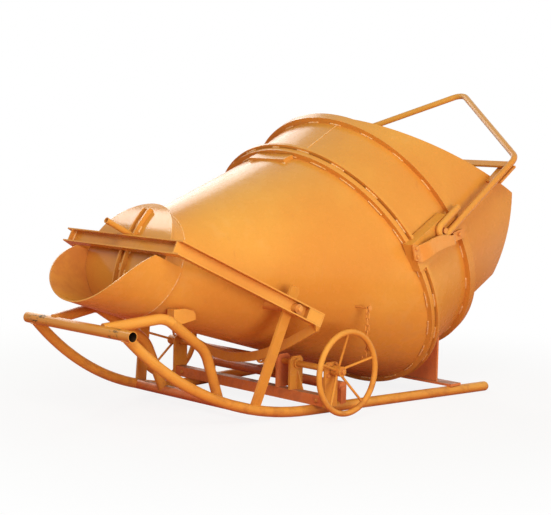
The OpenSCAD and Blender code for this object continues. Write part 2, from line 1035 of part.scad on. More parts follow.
module eye_pin() {
    along_y(eye_x, eye_z, -keeper_inner + loose_clear, -eye_plate_outer, eye_pin_d / 2);
}

module eye_pin_r() {
    color(paint_light) place() eye_pin();
}

module eye_pin_l() {
    color(paint_light) place() far_side() eye_pin();
}

module chain_stud() {
    color(paint_light) place()
        difference() {
            union() {
                along_y(chain_stud_x, chain_stud_z, -chain_y - chain_stud_tip, -chain_stud_in, chain_stud_d / 2);
                along_y(chain_stud_x, chain_stud_z, -chain_y - chain_stud_tip - chain_stud_head,
                    -chain_y - chain_stud_tip, chain_stud_head_d / 2);
            }
            cone_solid();
        }
}

// lever pieces
module arm_frame() {
    on_lever()
        translate([0, -lever_pivot_half, 0])
            rotate([0, 0, -arm_yaw])
                children();
}

module arm_block() {
    arm_frame()
        translate([-arm_span, -channel_depth, -channel_height / 2])
            cube([arm_span + arm_tail, channel_depth, channel_height]);
}

module lever_arm() {
    difference() {
        union() {
            difference() {
                arm_block();
                arm_frame()
                    translate([-arm_span - overrun, -channel_depth - overrun, channel_wall - channel_height / 2])
                        cube([arm_span + arm_tail + overrun - channel_wall,
                            channel_depth + overrun - channel_wall, channel_height - 2 * channel_wall]);
            }
            along_y(pivot_x, pivot_z, -arm_boss_outer, -arm_boss_inner, pivot_head_d / 2);
        }
        along_y(pivot_x, pivot_z, -half_span, 0, pivot_pin_d / 2 + run_clear);
        on_lever()
            translate([-arm_length - channel_depth - half_span, -half_span, -half_span])
                cube([half_span, 2 * half_span, 2 * half_span]);
    }
}

module lever_arm_r() {
    color(paint) place() lever_arm();
}

module lever_arm_l() {
    color(paint) place() far_side() lever_arm();
}

module front_block() {
    on_lever()
        translate([-arm_length - channel_depth, -half_span, -channel_height / 2])
            cube([channel_depth, 2 * half_span, channel_height]);
}

module lever_front() {
    color(paint) place()
        difference() {
            on_lever()
                translate([-arm_length - channel_depth, -lever_front_half, -channel_height / 2])
                    cube([channel_depth, 2 * lever_front_half, channel_height]);
            on_lever()
                translate([-arm_length - channel_depth - overrun, -half_span, channel_wall - channel_height / 2])
                    cube([channel_depth + overrun - channel_wall, 2 * half_span,
                        channel_height - 2 * channel_wall]);
            arm_block();
            far_side() arm_block();
        }
}

module gate_band(inner, outer, y0, y1) {
    difference() {
        along_y(pivot_x, pivot_z, y0, y1, outer);
        along_y(pivot_x, pivot_z, y0 - overrun, y1 + overrun, inner);
    }
}

module gate() {
    color(paint) place()
        intersection() {
            gate_band(gate_radius, gate_radius + gate_thickness, -half_span, half_span);
            on_neck()
                cylinder(h = half_span, r = gate_outline_r);
            union() {
                chute_cone(shell_wall + gate_chute_clear, chute_back);
                on_neck()
                    translate([0, -half_span, 0])
                        cube(2 * half_span);
            }
        }
}

module gate_rib(y) {
    difference() {
        intersection() {
            gate_band(gate_radius + gate_thickness, gate_radius + gate_thickness + gate_rib_height,
                y - gate_rib_width / 2, y + gate_rib_width / 2);
            on_neck()
                translate([-gate_rib_span, -half_span, 0])
                    cube([2 * gate_rib_span, 2 * half_span, half_span]);
        }
        front_block();
        socket_bar(socket_od / 2);
    }
}

module gate_rib_r() {
    color(paint_light) place() gate_rib(-gate_rib_half);
}

module gate_rib_l() {
    color(paint_light) place() gate_rib(gate_rib_half);
}

module socket_bar(r) {
    on_lever()
        translate([-arm_length + socket_overlap, 0, channel_height / 2 + socket_od / 2])
            rotate([0, -90, 0])
                cylinder(h = socket_length + socket_overlap, r = r);
}

module lever_socket() {
    color(paint_light) place()
        difference() {
            socket_bar(socket_od / 2);
            on_lever()
                translate([-arm_length - socket_bore_depth, 0,
                    channel_height / 2 + socket_od / 2])
                    rotate([0, -90, 0])
                        cylinder(h = socket_length, r = socket_bore_d / 2);
        }
}

module bow_strip(height) {
    polygon([[-bow_top_half, bow_top_z], [-bow_knee_half, bow_knee_z], [-bow_floor_half, bow_floor_z],
        [bow_floor_half, bow_floor_z], [bow_knee_half, bow_knee_z], [bow_top_half, bow_top_z],
        [bow_top_half, bow_top_z + height], [bow_knee_half, bow_knee_z + height],
        [bow_floor_half, bow_floor_z + height], [-bow_floor_half, bow_floor_z + height],
        [-bow_knee_half, bow_knee_z + height], [-bow_top_half, bow_top_z + height]]);
}

module bow_bar(depth) {
    translate([bow_x, 0, 0])
        rotate([90, 0, 90])
            linear_extrude(height = depth)
                children();
}

module lever_bow() {
    color(paint) place()
        difference() {
            union() {
                bow_bar(bow_thickness)
                    bow_strip(bow_height);
                bow_bar(bow_flange)
                    bow_strip(bow_thickness);
            }
            arm_block();
            far_side() arm_block();
        }
}

module lever_lug() {
    color(paint_dark) place() {
        side_plate(-lug_y, -lug_y + lug_thickness) {
            translate([lug_x, lug_z])
                circle(r = lug_eye_r);
            translate([bow_x + bow_thickness, lug_z - lug_root / 2])
                square([lug_x - bow_x - bow_thickness, lug_root]);
        }
        along_y(lug_x, lug_z, -link_y - overrun, -lug_y, lug_pin_d / 2);
    }
}

// drive pieces
module shaft() {
    color(paint_dark) place()
        along_y(shaft_x, shaft_z, -shaft_half, shaft_half, shaft_d / 2);
}

module spoke(turn) {
    bar_between([shaft_x + spoke_start * cos(turn), -wheel_hub_half + wheel_hub_length / 2,
        shaft_z + spoke_start * sin(turn)],
        [shaft_x + (wheel_r - wheel_rim_d / 2) * cos(turn), -wheel_half,
        shaft_z + (wheel_r - wheel_rim_d / 2) * sin(turn)], spoke_d / 2);
}

module wheel() {
    difference() {
        union() {
            translate([shaft_x, -wheel_half, shaft_z])
                rotate([90, 0, 0])
                    rotate_extrude()
                        translate([wheel_r - wheel_rim_d / 2, 0])
                            circle(r = wheel_rim_d / 2);
            along_y(shaft_x, shaft_z, -wheel_hub_half, -wheel_hub_half + wheel_hub_length, wheel_hub_d / 2);
            for (k = [0 : spoke_count - 1])
                spoke(spoke_turn + k * 360 / spoke_count);
        }
        along_y(shaft_x, shaft_z, -half_span, 0, shaft_d / 2);
    }
}

module wheel_r() {
    color(paint) place() wheel();
}

module wheel_l() {
    color(paint) place() far_side() wheel();
}

module crank() {
    color(paint_dark) place() {
        difference() {
            side_plate(-crank_y, -crank_y + crank_width) {
                translate([shaft_x, shaft_z])
                    circle(r = crank_hub_d / 2);
                translate([crank_pin_x, crank_pin_z])
                    circle(r = crank_eye_d / 2);
                translate([shaft_x, shaft_z])
                    rotate(-crank_rest)
                        translate([0, -crank_web / 2])
                            square([crank_throw, crank_web]);
            }
            along_y(shaft_x, shaft_z, -half_span, 0, shaft_d / 2);
        }
        along_y(crank_pin_x, crank_pin_z, -crank_y + crank_width, -link_y + link_width + overrun,
            crank_pin_d / 2);
    }
}

module link() {
    color(paint) place()
        side_plate(-link_y, -link_y + link_width)
            difference() {
                union() {
                    translate([crank_pin_x, crank_pin_z])
                        circle(r = link_eye_r);
                    translate([lug_x, lug_z])
                        circle(r = link_lug_eye_r);
                    translate([crank_pin_x, crank_pin_z])
                        rotate(link_angle)
                            translate([0, -link_web / 2])
                                square([link_length, link_web]);
                }
                translate([crank_pin_x, crank_pin_z])
                    circle(r = crank_pin_d / 2 + run_clear);
                translate([lug_x, lug_z])
                    circle(r = link_lug_hole_r);
            }
}

// bail pieces, drawn in the plane of the bail
module bail_bend(at, r, from, turn) {
    translate(at)
        rotate([0, 0, from - lap_angle(r)])
            rotate_extrude(angle = turn + 2 * lap_angle(r))
                translate([r, 0])
                    circle(r = rod_r - bend_step);
}

module bail_half_rod() {
    translate([0, -bail_half, -eye_r])
        rotate([0, 90, 0])
            cylinder(h = bail_leg, r = rod_r);
    translate([0, -bail_half, eye_r])
        rotate([0, 90, 0])
            cylinder(h = bail_tail, r = rod_r);
    translate([0, -bail_half, 0])
        rotate([90, 0, 0])
            rotate([0, 0, 90 - lap_angle(eye_r)])
                rotate_extrude(angle = 180 + 2 * lap_angle(eye_r))
                    translate([eye_r, 0])
                        circle(r = rod_r - bend_step);
    bail_bend([bail_leg, bail_shoulder_r - bail_half, -eye_r], bail_shoulder_r, -90, bail_shoulder_bend);
    translate([bail_leg + bail_shoulder_r * sin(bail_shoulder_bend),
        bail_shoulder_r * (1 - cos(bail_shoulder_bend)) - bail_half, -eye_r])
        rotate([0, 90, bail_shoulder_bend])
            cylinder(h = bail_slant, r = rod_r);
}

module bail_rod() {
    color(paint) place()
        on_bail() {
            bail_half_rod();
            far_side() bail_half_rod();
            bail_bend([bail_apex_centre, 0, -eye_r], bail_apex_r, bail_shoulder_bend - 90,
                180 - 2 * bail_shoulder_bend);
        }
}

module bail_spreader() {
    color(paint) place()
        on_bail()
            difference() {
                translate([bail_leg - spreader_back - spreader_width, -bail_half, -eye_r - spreader_thickness / 2])
                    cube([spreader_width, 2 * bail_half, spreader_thickness]);
                translate([0, -bail_half, -eye_r])
                    rotate([0, 90, 0])
                        cylinder(h = bail_leg, r = rod_r);
                translate([0, bail_half, -eye_r])
                    rotate([0, 90, 0])
                        cylinder(h = bail_leg, r = rod_r);
                translate([0, bail_half, -half_span])
                    cube([2 * half_span, half_span, 2 * half_span]);
                translate([0, -bail_half - half_span, -half_span])
                    cube([2 * half_span, half_span, 2 * half_span]);
            }
}

// safety chain
module chain_bow() {
    rotate_extrude(angle = 180)
        translate([chain_bend_r, 0])
            circle(r = chain_wire / 2);
}

module chain_link() {
    side = chain_inner / 2 + chain_wire / 2 - chain_bend_r;
    translate([0, side, 0]) chain_bow();
    translate([0, -side, 0]) rotate([0, 0, 180]) chain_bow();
    for (x = [-chain_bend_r, chain_bend_r])
        translate([x, -side, 0])
            rotate([-90, 0, 0])
                cylinder(h = 2 * side, r = chain_wire / 2);
}

module chain() {
    color(paint_light) place()
        translate([chain_stud_x, -chain_y, chain_stud_z + chain_stud_d / 2 + chain_gap - chain_inner / 2])
            for (k = [0 : chain_links - 1])
                translate([0, 0, -k * (chain_inner - chain_gap)])
                    rotate([90, 0, k % 2 * 90])
                        chain_link();
}

runner_l();
runner_r();
front_cross_tube();
bottom_cross_tube();
hoop_front_l();
hoop_front_r();
hoop_back_l();
hoop_back_r();
saddle_l();
saddle_r();
leg_l();
leg_r();
pivot_l();
pivot_r();
beam();
bearing_outer_l();
bearing_outer_r();
bearing_inner_r();
bearing_post_r();
mid_cross_tube();
rear_cross_bar();
rear_saddle();
cone();
neck();
drum();
mouth_shell();
mouth_back();
hoop_ring_front();
hoop_ring_second();
hoop_ring_rear();
chute();
top_pad();
bail_rest_l();
bail_rest_r();
eye_plate_l();
eye_plate_r();
keeper_l();
keeper_r();
keeper_screws();
eye_pin_l();
eye_pin_r();
chain_stud();
lever_front();
lever_arm_l();
lever_arm_r();
gate();
gate_rib_l();
gate_rib_r();
lever_socket();
lever_bow();
lever_lug();
shaft();
wheel_l();
wheel_r();
crank();
link();
bail_rod();
bail_spreader();
chain();
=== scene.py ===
"""Lay-down concrete bucket: enamel, welds, bolts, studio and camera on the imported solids."""

import math

import bmesh
import bpy
from mathutils import Matrix, Vector


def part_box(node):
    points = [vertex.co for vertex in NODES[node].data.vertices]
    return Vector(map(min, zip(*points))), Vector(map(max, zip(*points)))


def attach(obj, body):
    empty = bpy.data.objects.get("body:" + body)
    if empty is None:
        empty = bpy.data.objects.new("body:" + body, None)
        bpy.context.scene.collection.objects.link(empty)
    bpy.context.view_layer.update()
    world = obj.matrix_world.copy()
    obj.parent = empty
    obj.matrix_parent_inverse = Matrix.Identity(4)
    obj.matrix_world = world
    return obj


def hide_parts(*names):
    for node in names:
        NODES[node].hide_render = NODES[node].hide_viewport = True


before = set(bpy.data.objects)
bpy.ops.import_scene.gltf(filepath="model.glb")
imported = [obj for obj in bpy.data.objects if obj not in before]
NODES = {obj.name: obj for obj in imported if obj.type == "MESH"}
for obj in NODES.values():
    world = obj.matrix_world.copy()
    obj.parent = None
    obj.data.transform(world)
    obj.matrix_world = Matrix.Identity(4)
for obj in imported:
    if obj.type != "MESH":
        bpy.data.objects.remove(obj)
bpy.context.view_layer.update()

# Sizes and places shared with the solids, in metres; x is measured from the front cross pipe.
PIPE_LOW, PIPE_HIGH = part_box("front_cross_tube")
FRONT_X = (PIPE_LOW.x + PIPE_HIGH.x) / 2
FRONT_Z = (PIPE_LOW.z + PIPE_HIGH.z) / 2
PIPE_R = 0.02415
SHELL_R = 0.663
RING_RIM_R = 0.6885
DRUM_TILT = math.radians(29.2)
NECK_TILT = math.radians(22.5)
GATE_R = 0.576
PIVOT_X, PIVOT_Z = 0.788, 0.524
SHAFT_X, SHAFT_Z = 1.043, 0.221
NEAR, FAR = -1.0, 1.0
SIDES = ((NEAR, "near"), (FAR, "far"))


def at(x, y, z):
    """A point given from the front cross pipe, the middle plane and the ground."""
    return Vector((x + FRONT_X, y, z))


RING = at(1.502, 0.0, 0.609)
DRUM_AXIS = Vector((math.cos(DRUM_TILT), 0.0, math.sin(DRUM_TILT)))
DRUM_UP = Vector((-math.sin(DRUM_TILT), 0.0, math.cos(DRUM_TILT)))
PIVOT = at(PIVOT_X, 0.0, PIVOT_Z)
NECK_AXIS = Vector((-math.cos(NECK_TILT), 0.0, math.sin(NECK_TILT)))
NECK_UP = Vector((math.sin(NECK_TILT), 0.0, math.cos(NECK_TILT)))
SIDE = Vector((0.0, 1.0, 0.0))
ARM_TILT = math.radians(26.9)
ARM_HALF, ARM_FRONT_HALF, ARM_RUN = 0.528, 0.374, 0.593
ARM_YAW = math.atan2(ARM_HALF - ARM_FRONT_HALF, ARM_RUN)

# Finishes, painted shade and painted highlight, as linear colours.
AMBER_LIGHT = (0.82, 0.413, 0.067, 1.0)
AMBER_DEEP = (0.72, 0.297, 0.043, 1.0)
# A redder, darker copy of the amber for the pieces low under the body: painted shade.
LOW_SHADED_LIGHT = (0.86, 0.31, 0.095, 1.0)
LOW_SHADED_DEEP = (0.76, 0.23, 0.070, 1.0)
FITTING_LIGHT = (0.84, 0.40, 0.085, 1.0)
FITTING_DEEP = (0.74, 0.29, 0.050, 1.0)
AMBER_DUST = (0.84, 0.53, 0.22, 1.0)
# Red oxide of the runs and splashes, also the painted shade in the fittings' tight corners.
OXIDE_AND_CORNER_SHADE = (0.30, 0.050, 0.022, 1.0)
# Brown of the chute's rubbed lining, laid also as painted shade on its inner faces.
LINING_AND_SHADE_BROWN = (0.52, 0.165, 0.040, 1.0)
# Deep red of the painted shade where other parts stand close.
SHADE_PAINT_RED = (0.42, 0.070, 0.030, 1.0)
SCUFF_DARK = (0.040, 0.045, 0.030, 1.0)
# Pale cream of the painted highlight on weld beads.
WELD_HIGHLIGHT_PALE = (0.86, 0.58, 0.30, 1.0)
SILT_GREY = (0.33, 0.25, 0.15, 1.0)
# Near black of the painted shade inside the pipe's bore.
BORE_SHADE_BLACK = (0.012, 0.010, 0.008, 1.0)
BORE_RUST = (0.060, 0.028, 0.014, 1.0)
GROUND_DEEP = (0.60, 0.20, 0.17, 1.0)
GROUND_LIGHT = (0.66, 0.22, 0.19, 1.0)
PAPER = (0.9, 0.9, 0.9, 1.0)
PAGE_WHITE = (1.0, 1.0, 1.0, 1.0)
DOME_WARM = (1.0, 0.95, 0.84, 1.0)

# Where the enamel weathers and where shade is painted on it, in metres; pairs are the start and the
# end of a passage.
WORN_EDGE_R = 0.003
SHADE_PAINT_REACH = 0.26
CREVICE_SHADE_REACH = 0.014
SPLASH_HEIGHT = (0.03, 0.55)
BORE_SKIN = (0.0207, 0.0214)
FAR_SCUFF = ((0.18, 0.24), (0.30, 0.36))
NEAR_SCUFF = ((-0.31, -0.29), (-0.25, -0.21))
RUN_STRETCH = (30.0, 30.0, 2.6)
SCUFF_STRETCH = (55.0, 22.0, 55.0)
ENAMEL_RELIEF, WELD_RELIEF = 0.002, 0.001


class Wire:
    """A node socket that takes part in Python arithmetic."""

    def __init__(self, shop, socket):
        self.shop = shop
        self.socket = socket

    def maths(self, operation, a, b=0.0):
        return self.shop.node("ShaderNodeMath", {"operation": operation}, {0: a, 1: b})

    def __add__(self, other):
        return self.maths("ADD", self, other)

    __radd__ = __add__

    def __sub__(self, other):
        return self.maths("SUBTRACT", self, other)

    def __rsub__(self, other):
        return self.maths("SUBTRACT", other, self)

    def __mul__(self, other):
        return self.maths("MULTIPLY", self, other)

    __rmul__ = __mul__

    def __mod__(self, other):
        return self.maths("MODULO", self, other)

    def __lt__(self, other):
        return self.maths("LESS_THAN", self, other)

    def __gt__(self, other):
        return self.maths("GREATER_THAN", self, other)

    def other(self, name):
        """Another output of the same node."""
        return Wire(self.shop, self.socket.node.outputs[name])

    def band(self, low, high):
        """0 below low, 1 above high and smooth between."""
        return self.shop.node(
            "ShaderNodeMapRange",
            {"interpolation_type": "SMOOTHSTEP"},
            {"Value": self, "From Min": low, "From Max": high},
        )


class Shop:
    """Makes and links the nodes of one tree."""

    def __init__(self, tree):
        self.tree = tree

    def node(self, kind, settings=None, sockets=None, out=0):
        """A node of this kind; a list of wires goes into one socket that takes many."""
        made = self.tree.nodes.new(kind)
        for key, value in (settings or {}).items():
            setattr(made, key, value)
        for key, value in (sockets or {}).items():
            if isinstance(value, (Wire, list)):
                for wire in value if isinstance(value, list) else [value]:
                    self.tree.links.new(wire.socket, made.inputs[key])
            else:
                made.inputs[key].default_value = value
        return Wire(self, made.outputs[out]) if len(made.outputs) else None

    def mix(self, share, a, b):
        """Colour a at share 0, b at share 1."""
        return self.node("ShaderNodeMix", {"data_type": "RGBA"}, {0: share, 6: a, 7: b}, out=2)

    def noise(self, place, scale, detail=4.0, roughness=0.55):
        sockets = {"Vector": place, "Scale": scale, "Detail": detail, "Roughness": roughness}
        return self.node("ShaderNodeTexNoise", None, sockets)

    def place(self):
        return self.node("ShaderNodeTexCoord", out="Object")

    def normal(self):
        return self.node("ShaderNodeNewGeometry", out="Normal")

    def stretched(self, place, scale):
        return self.node("ShaderNodeMapping", None, {"Vector": place, "Scale": scale})

    def along(self, place, axis):
        return self.node("ShaderNodeSeparateXYZ", None, {0: place}, out=axis)

    def vector_maths(self, operation, *vectors):
        """A number worked out from one or two vectors."""
        sockets = dict(enumerate(vectors))
        return self.node("ShaderNodeVectorMath", {"operation": operation}, sockets, out="Value")

    def open_air(self, samples, reach):
        """1 where nothing stands within reach, falling to 0 in closed corners."""
        sockets = {"Distance": reach}
        return self.node("ShaderNodeAmbientOcclusion", {"samples": samples}, sockets, out="AO")

    def edge(self, radius):
        """Near 1 on edges sharper than the radius, 0 on open faces."""
        rounded = self.node("ShaderNodeBevel", {"samples": 4}, {"Radius": radius})
        facing = self.vector_maths("DOT_PRODUCT", rounded, self.normal())
        return (1.0 - facing).band(0.03, 0.25)

    def bump(self, height, strength, distance):
        sockets = {"Height": height, "Strength": strength, "Distance": distance}
        return self.node("ShaderNodeBump", None, sockets)


def material(name, recipe):
    """A material whose surface is what the recipe returns for its node shop."""
    made = bpy.data.materials.new(name)
    made.use_nodes = True
    made.node_tree.nodes.clear()
    shop = Shop(made.node_tree)
    shop.node("ShaderNodeOutputMaterial", None, {"Surface": recipe(shop)})
    return made


def silted(shop, mottle, amount, colour, rough):
    """Grey silt that lies on upward faces."""
    up = shop.along(shop.normal(), "Z")
    lying = up.band(0.75, 0.95) * (0.35 + mottle.band(0.35, 0.6) * 0.65) * amount
    return shop.mix(lying, colour, SILT_GREY), rough + lying * 0.4


def lining_and_inner_shade(shop, place, mottle, colour, rough):
    """Brown lining on the faces that look towards the middle plane: rubbed wear, and painted shade
    inside the chute.
    """
    facing = shop.along(shop.normal(), "Y")
    inside = (0.0 - facing * shop.along(place, "Y")).band(0.01, 0.12)
    rubbed_and_shaded = inside * (0.45 + mottle.band(0.35, 0.65) * 0.35)
    return shop.mix(rubbed_and_shaded, colour, LINING_AND_SHADE_BROWN), rough + rubbed_and_shaded * 0.3


def scuffed_ends(shop, place, mottle, colour, rough):
    """Dark scuffs near both ends of the front cross pipe, and its bore in rust and painted shade.
    """
    across = shop.along(place, "Y")
    far_end = across.band(*FAR_SCUFF[0]) - across.band(*FAR_SCUFF[1])
    near_end = across.band(*NEAR_SCUFF[0]) - across.band(*NEAR_SCUFF[1])
    patch = shop.noise(shop.stretched(place, SCUFF_STRETCH), 1.0, 6.0, 0.7)
    scuff = patch.band(0.52, 0.60) * (far_end + near_end * 0.7)
    colour = shop.mix(scuff, colour, SCUFF_DARK)
    from_axis = shop.node(
        "ShaderNodeMapping",
        None,
        {"Vector": place, "Location": (-FRONT_X, 0.0, -FRONT_Z), "Scale": (1.0, 0.0, 1.0)},
    )
    # Painted shade and rust: the bore inside the pipe goes nearly black.
    bore = 1.0 - shop.vector_maths("LENGTH", from_axis).band(*BORE_SKIN)
    bore_rust_and_shade = shop.mix(mottle.band(0.4, 0.65), BORE_SHADE_BLACK, BORE_RUST)
    return shop.mix(bore, colour, bore_rust_and_shade), rough + scuff * 0.3 + bore * 0.45


def enamel(
    light, deep, wear=1.0, edges=1.0, grime=1.0, gloss=0.22, relief=0.22, shelter=0.55,
    crevice_shade=0.0, silt=0.0, scuffed=False, lined=False,
):
    """Thick sprayed enamel: drifting tone, dust, runs, chips, worn edges and painted shade in
    corners.

    Under the belly and between the pipes, and wherever other parts stand close, painted shade turns
    the paint deep red.
    """

    def recipe(shop):
        place = shop.place()
        drift = shop.noise(place, 1.6, 3.0, 0.5)
        mottle = shop.noise(place, 17.0, 6.0, 0.6)
        grain = shop.noise(place, 310.0, 2.0, 0.6)
        waves = shop.noise(place, 4.5, 1.0, 0.4)
        speck = shop.noise(place, 90.0, 3.0, 0.7)
        runs = shop.noise(shop.stretched(place, RUN_STRETCH), 1.0, 4.0, 0.6)
        low = 1.0 - shop.along(place, "Z").band(*SPLASH_HEIGHT)
        dust = (mottle * 0.6 + drift * 0.5).band(0.58, 0.76) * 0.16
        dirt = (runs.band(0.60, 0.80) * 0.16 + low * mottle.band(0.46, 0.68) * 0.26) * grime
        worn = shop.edge(WORN_EDGE_R) * speck.band(0.40, 0.6) * 0.55 * edges if edges else 0.0
        chip = speck.band(0.745, 0.77) * mottle.band(0.54, 0.64) * wear
        # Painted shade: the enamel goes deep red where other parts stand within reach.
        sheltered = (1.0 - shop.open_air(6, SHADE_PAINT_REACH).band(0.12, 0.80)) * shelter
        colour = shop.mix(drift.band(0.30, 0.70) * 0.8 + (grain - 0.5) * 0.9, deep, light)
        colour = shop.mix(dust, colour, AMBER_DUST)
        colour = shop.mix(dirt, colour, OXIDE_AND_CORNER_SHADE)
        colour = shop.mix(worn, colour, AMBER_DUST)
        colour = shop.mix(chip, colour, SCUFF_DARK)
        colour = shop.mix(sheltered, colour, SHADE_PAINT_RED)
        rough = gloss + mottle * 0.10 + dust * 0.5 + dirt * 0.4
        # Painted shade: the fittings go dark red in their tight corners and holes.
        if crevice_shade:
            corner = (1.0 - shop.open_air(8, CREVICE_SHADE_REACH).band(0.15, 0.85)) * crevice_shade
            colour = shop.mix(corner, colour, OXIDE_AND_CORNER_SHADE)
        if silt:
            colour, rough = silted(shop, mottle, silt, colour, rough)
        if lined:
            colour, rough = lining_and_inner_shade(shop, place, mottle, colour, rough)
        if scuffed:
            colour, rough = scuffed_ends(shop, place, mottle, colour, rough)
        peel = shop.noise(place, 70.0, 1.0, 0.4)
        height = waves * 1.2 + peel * 0.04 - chip * 0.2
        return shop.node(
            "ShaderNodeBsdfPrincipled",
            None,
            {
                "Base Color": colour,
                "Roughness": rough,
                "Specular IOR Level": 0.22,
                "Coat Weight": 0.08,
                "Coat Roughness": 0.12,
                "Normal": shop.bump(height, relief, ENAMEL_RELIEF),
            },
        )

    return recipe


def highlit_weld_paint(shop):
    """Weld bead under the enamel, with pale patches of painted highlight."""
    ripple = shop.noise(shop.place(), 150.0, 3.0, 0.6)
    colour = shop.mix(ripple.band(0.4, 0.62), AMBER_LIGHT, WELD_HIGHLIGHT_PALE)
    sockets = {
        "Base Color": colour,
        "Roughness": 0.28 + ripple * 0.2,
        "Normal": shop.bump(ripple, 0.4, WELD_RELIEF),
    }
    return shop.node("ShaderNodeBsdfPrincipled", None, sockets)


def rays_seen(shop):
    """1 for rays that look at the page straight, and 1 for those mirrored or through a piece."""
    straight = shop.node("ShaderNodeLightPath", out="Is Camera Ray")
    return straight, straight.other("Is Glossy Ray") + straight.other("Is Transmission Ray")


def floor_paper(shop):
    """White where it is looked at, with the shadow kept; a warm dim ground to all other light."""
    grain = shop.noise(shop.place(), 3.0, 2.0)
    straight, mirrored = rays_seen(shop)
    ground = shop.mix(grain, GROUND_DEEP, GROUND_LIGHT)
    page = shop.mix(straight, ground, PAPER)
    matt = shop.node("ShaderNodeBsdfDiffuse", None, {"Color": page})
    glow = shop.node("ShaderNodeEmission", None, {"Color": PAGE_WHITE, "Strength": 1.0})
    reach = shop.vector_maths("LENGTH", shop.place())
    share = straight * (0.86 + reach.band(1.2, 3.0) * 0.14) + mirrored * reach.band(2.0, 3.8)
    return shop.node("ShaderNodeMixShader", None, {0: share, 1: matt, 2: glow})


def amber(name, **looks):
    return material(name, enamel(AMBER_LIGHT, AMBER_DEEP, **looks))


# How much painted shade the shell and the chute take.
SHELL_SHADE_PAINT = 0.38
PIPE_LOOKS = {"wear": 1.4, "edges": 0.0, "grime": 1.3, "gloss": 0.26, "relief": 0.07}
shell_enamel = amber("shell_enamel", shelter=SHELL_SHADE_PAINT)
chute_enamel = amber("chute_enamel", shelter=SHELL_SHADE_PAINT, lined=True)
gate_enamel = amber("gate_enamel", edges=1.8, gloss=0.10)
pipe_enamel = amber("pipe_enamel", **PIPE_LOOKS)
front_pipe_enamel = amber("front_pipe_enamel", scuffed=True, **PIPE_LOOKS)
# Painted shade: the low pieces under the body take a redder, darker copy of the amber.
shaded_low_enamel = material("shaded_low_enamel", enamel(LOW_SHADED_LIGHT, LOW_SHADED_DEEP, wear=1.2, grime=1.2, silt=0.8))
fitting_enamel = material(
    "fitting_enamel", enamel(FITTING_LIGHT, FITTING_DEEP, wear=1.8, crevice_shade=0.85)
)
weld_bead = material("weld_bead", highlit_weld_paint)

# Nodes that are not finished as the shell is.
FINISHED_NODES = (
    (pipe_enamel, ("runner_l", "runner_r", "hoop_front_l", "hoop_front_r", "hoop_back_l",
                   "hoop_back_r", "bail_rod", "wheel_l", "wheel_r")),
    (shaded_low_enamel, ("bottom_cross_tube", "beam", "bearing_post_r", "mid_cross_tube",
                  "rear_cross_bar", "rear_saddle", "crank", "lever_lug")),
    (fitting_enamel, ("keeper_screws", "chain", "chain_stud", "eye_pin_l", "eye_pin_r",
                      "pivot_l", "pivot_r", "keeper_l", "keeper_r")),
    (front_pipe_enamel, ("front_cross_tube",)),
    (gate_enamel, ("gate",)),
    (chute_enamel, ("chute",)),
)
FINISH_OF = {name: finish for finish, names in FINISHED_NODES for name in names}
for name, node in NODES.items():
    node.data.materials.clear()
    node.data.materials.append(FINISH_OF.get(name, shell_enamel))


def tree_for(name, inputs):
    """An empty Geometry Nodes tree with a geometry in and out and these named inputs."""
    tree = bpy.data.node_groups.new(name, "GeometryNodeTree")
    tree.interface.new_socket("Geometry", in_out="INPUT", socket_type="NodeSocketGeometry")
    for label, kind in inputs:
        tree.interface.new_socket(label, in_out="INPUT", socket_type="NodeSocket" + kind)
    tree.interface.new_socket("Geometry", in_out="OUTPUT", socket_type="NodeSocketGeometry")
    shop = Shop(tree)
    return tree, shop, shop.node("NodeGroupInput", out="Geometry")


def end_tree(shop, geometry, paint):
    solid = shop.node("GeometryNodeRealizeInstances", None, {"Geometry": geometry})
    painted = shop.node("GeometryNodeSetMaterial", None, {"Geometry": solid, "Material": paint})
    shop.node("NodeGroupOutput", None, {"Geometry": painted})


def smoothed(shop, geometry):
    return shop.node("GeometryNodeSetShadeSmooth", None, {"Geometry": geometry})


def round_wire(shop, radius):
    """The round section of a wire or bar."""
    sockets = {"Resolution": 10, "Radius": radius}
    return shop.node("GeometryNodeCurvePrimitiveCircle", None, sockets)


def weld_tree():
    """Overlapping beads along a path, in runs with gaps between."""
    tree, shop, given = tree_for(
        "weld_run",
        [("Step", "Float"), ("Width", "Float"), ("Run", "Float"), ("Cycle", "Float"),
         ("Paint", "Material")],
    )
    step, width = given.other("Step"), given.other("Width")
    path = shop.node("GeometryNodeMeshToCurve", None, {"Mesh": given})
    points = shop.node(
        "GeometryNodeCurveToPoints", {"mode": "LENGTH"}, {"Curve": path, "Length": step}
    )
    ball = shop.node(
        "GeometryNodeMeshUVSphere", None, {"Segments": 8, "Rings": 5, "Radius": 1.0}
    )
    bead = shop.node("ShaderNodeCombineXYZ", None, {0: width, 1: width, 2: step * 0.9})
    shaped = shop.node(
        "GeometryNodeTransform", None, {"Geometry": smoothed(shop, ball), "Scale": bead}
    )
    turn = shop.node("GeometryNodeInputIndex") % given.other("Cycle")
    uneven = shop.node(
        "FunctionNodeRandomValue", {"data_type": "FLOAT"}, {2: 0.82, 3: 1.18, "Seed": 7}, out=1
    )
    set_down = shop.node(
        "GeometryNodeInstanceOnPoints",
        None,
        {
            "Points": points,
            "Selection": turn < given.other("Run"),
            "Instance": shaped,
            "Rotation": points.other("Rotation"),
            "Scale": uneven,
        },
    )
    end_tree(shop, set_down, given.other("Paint"))
    return tree


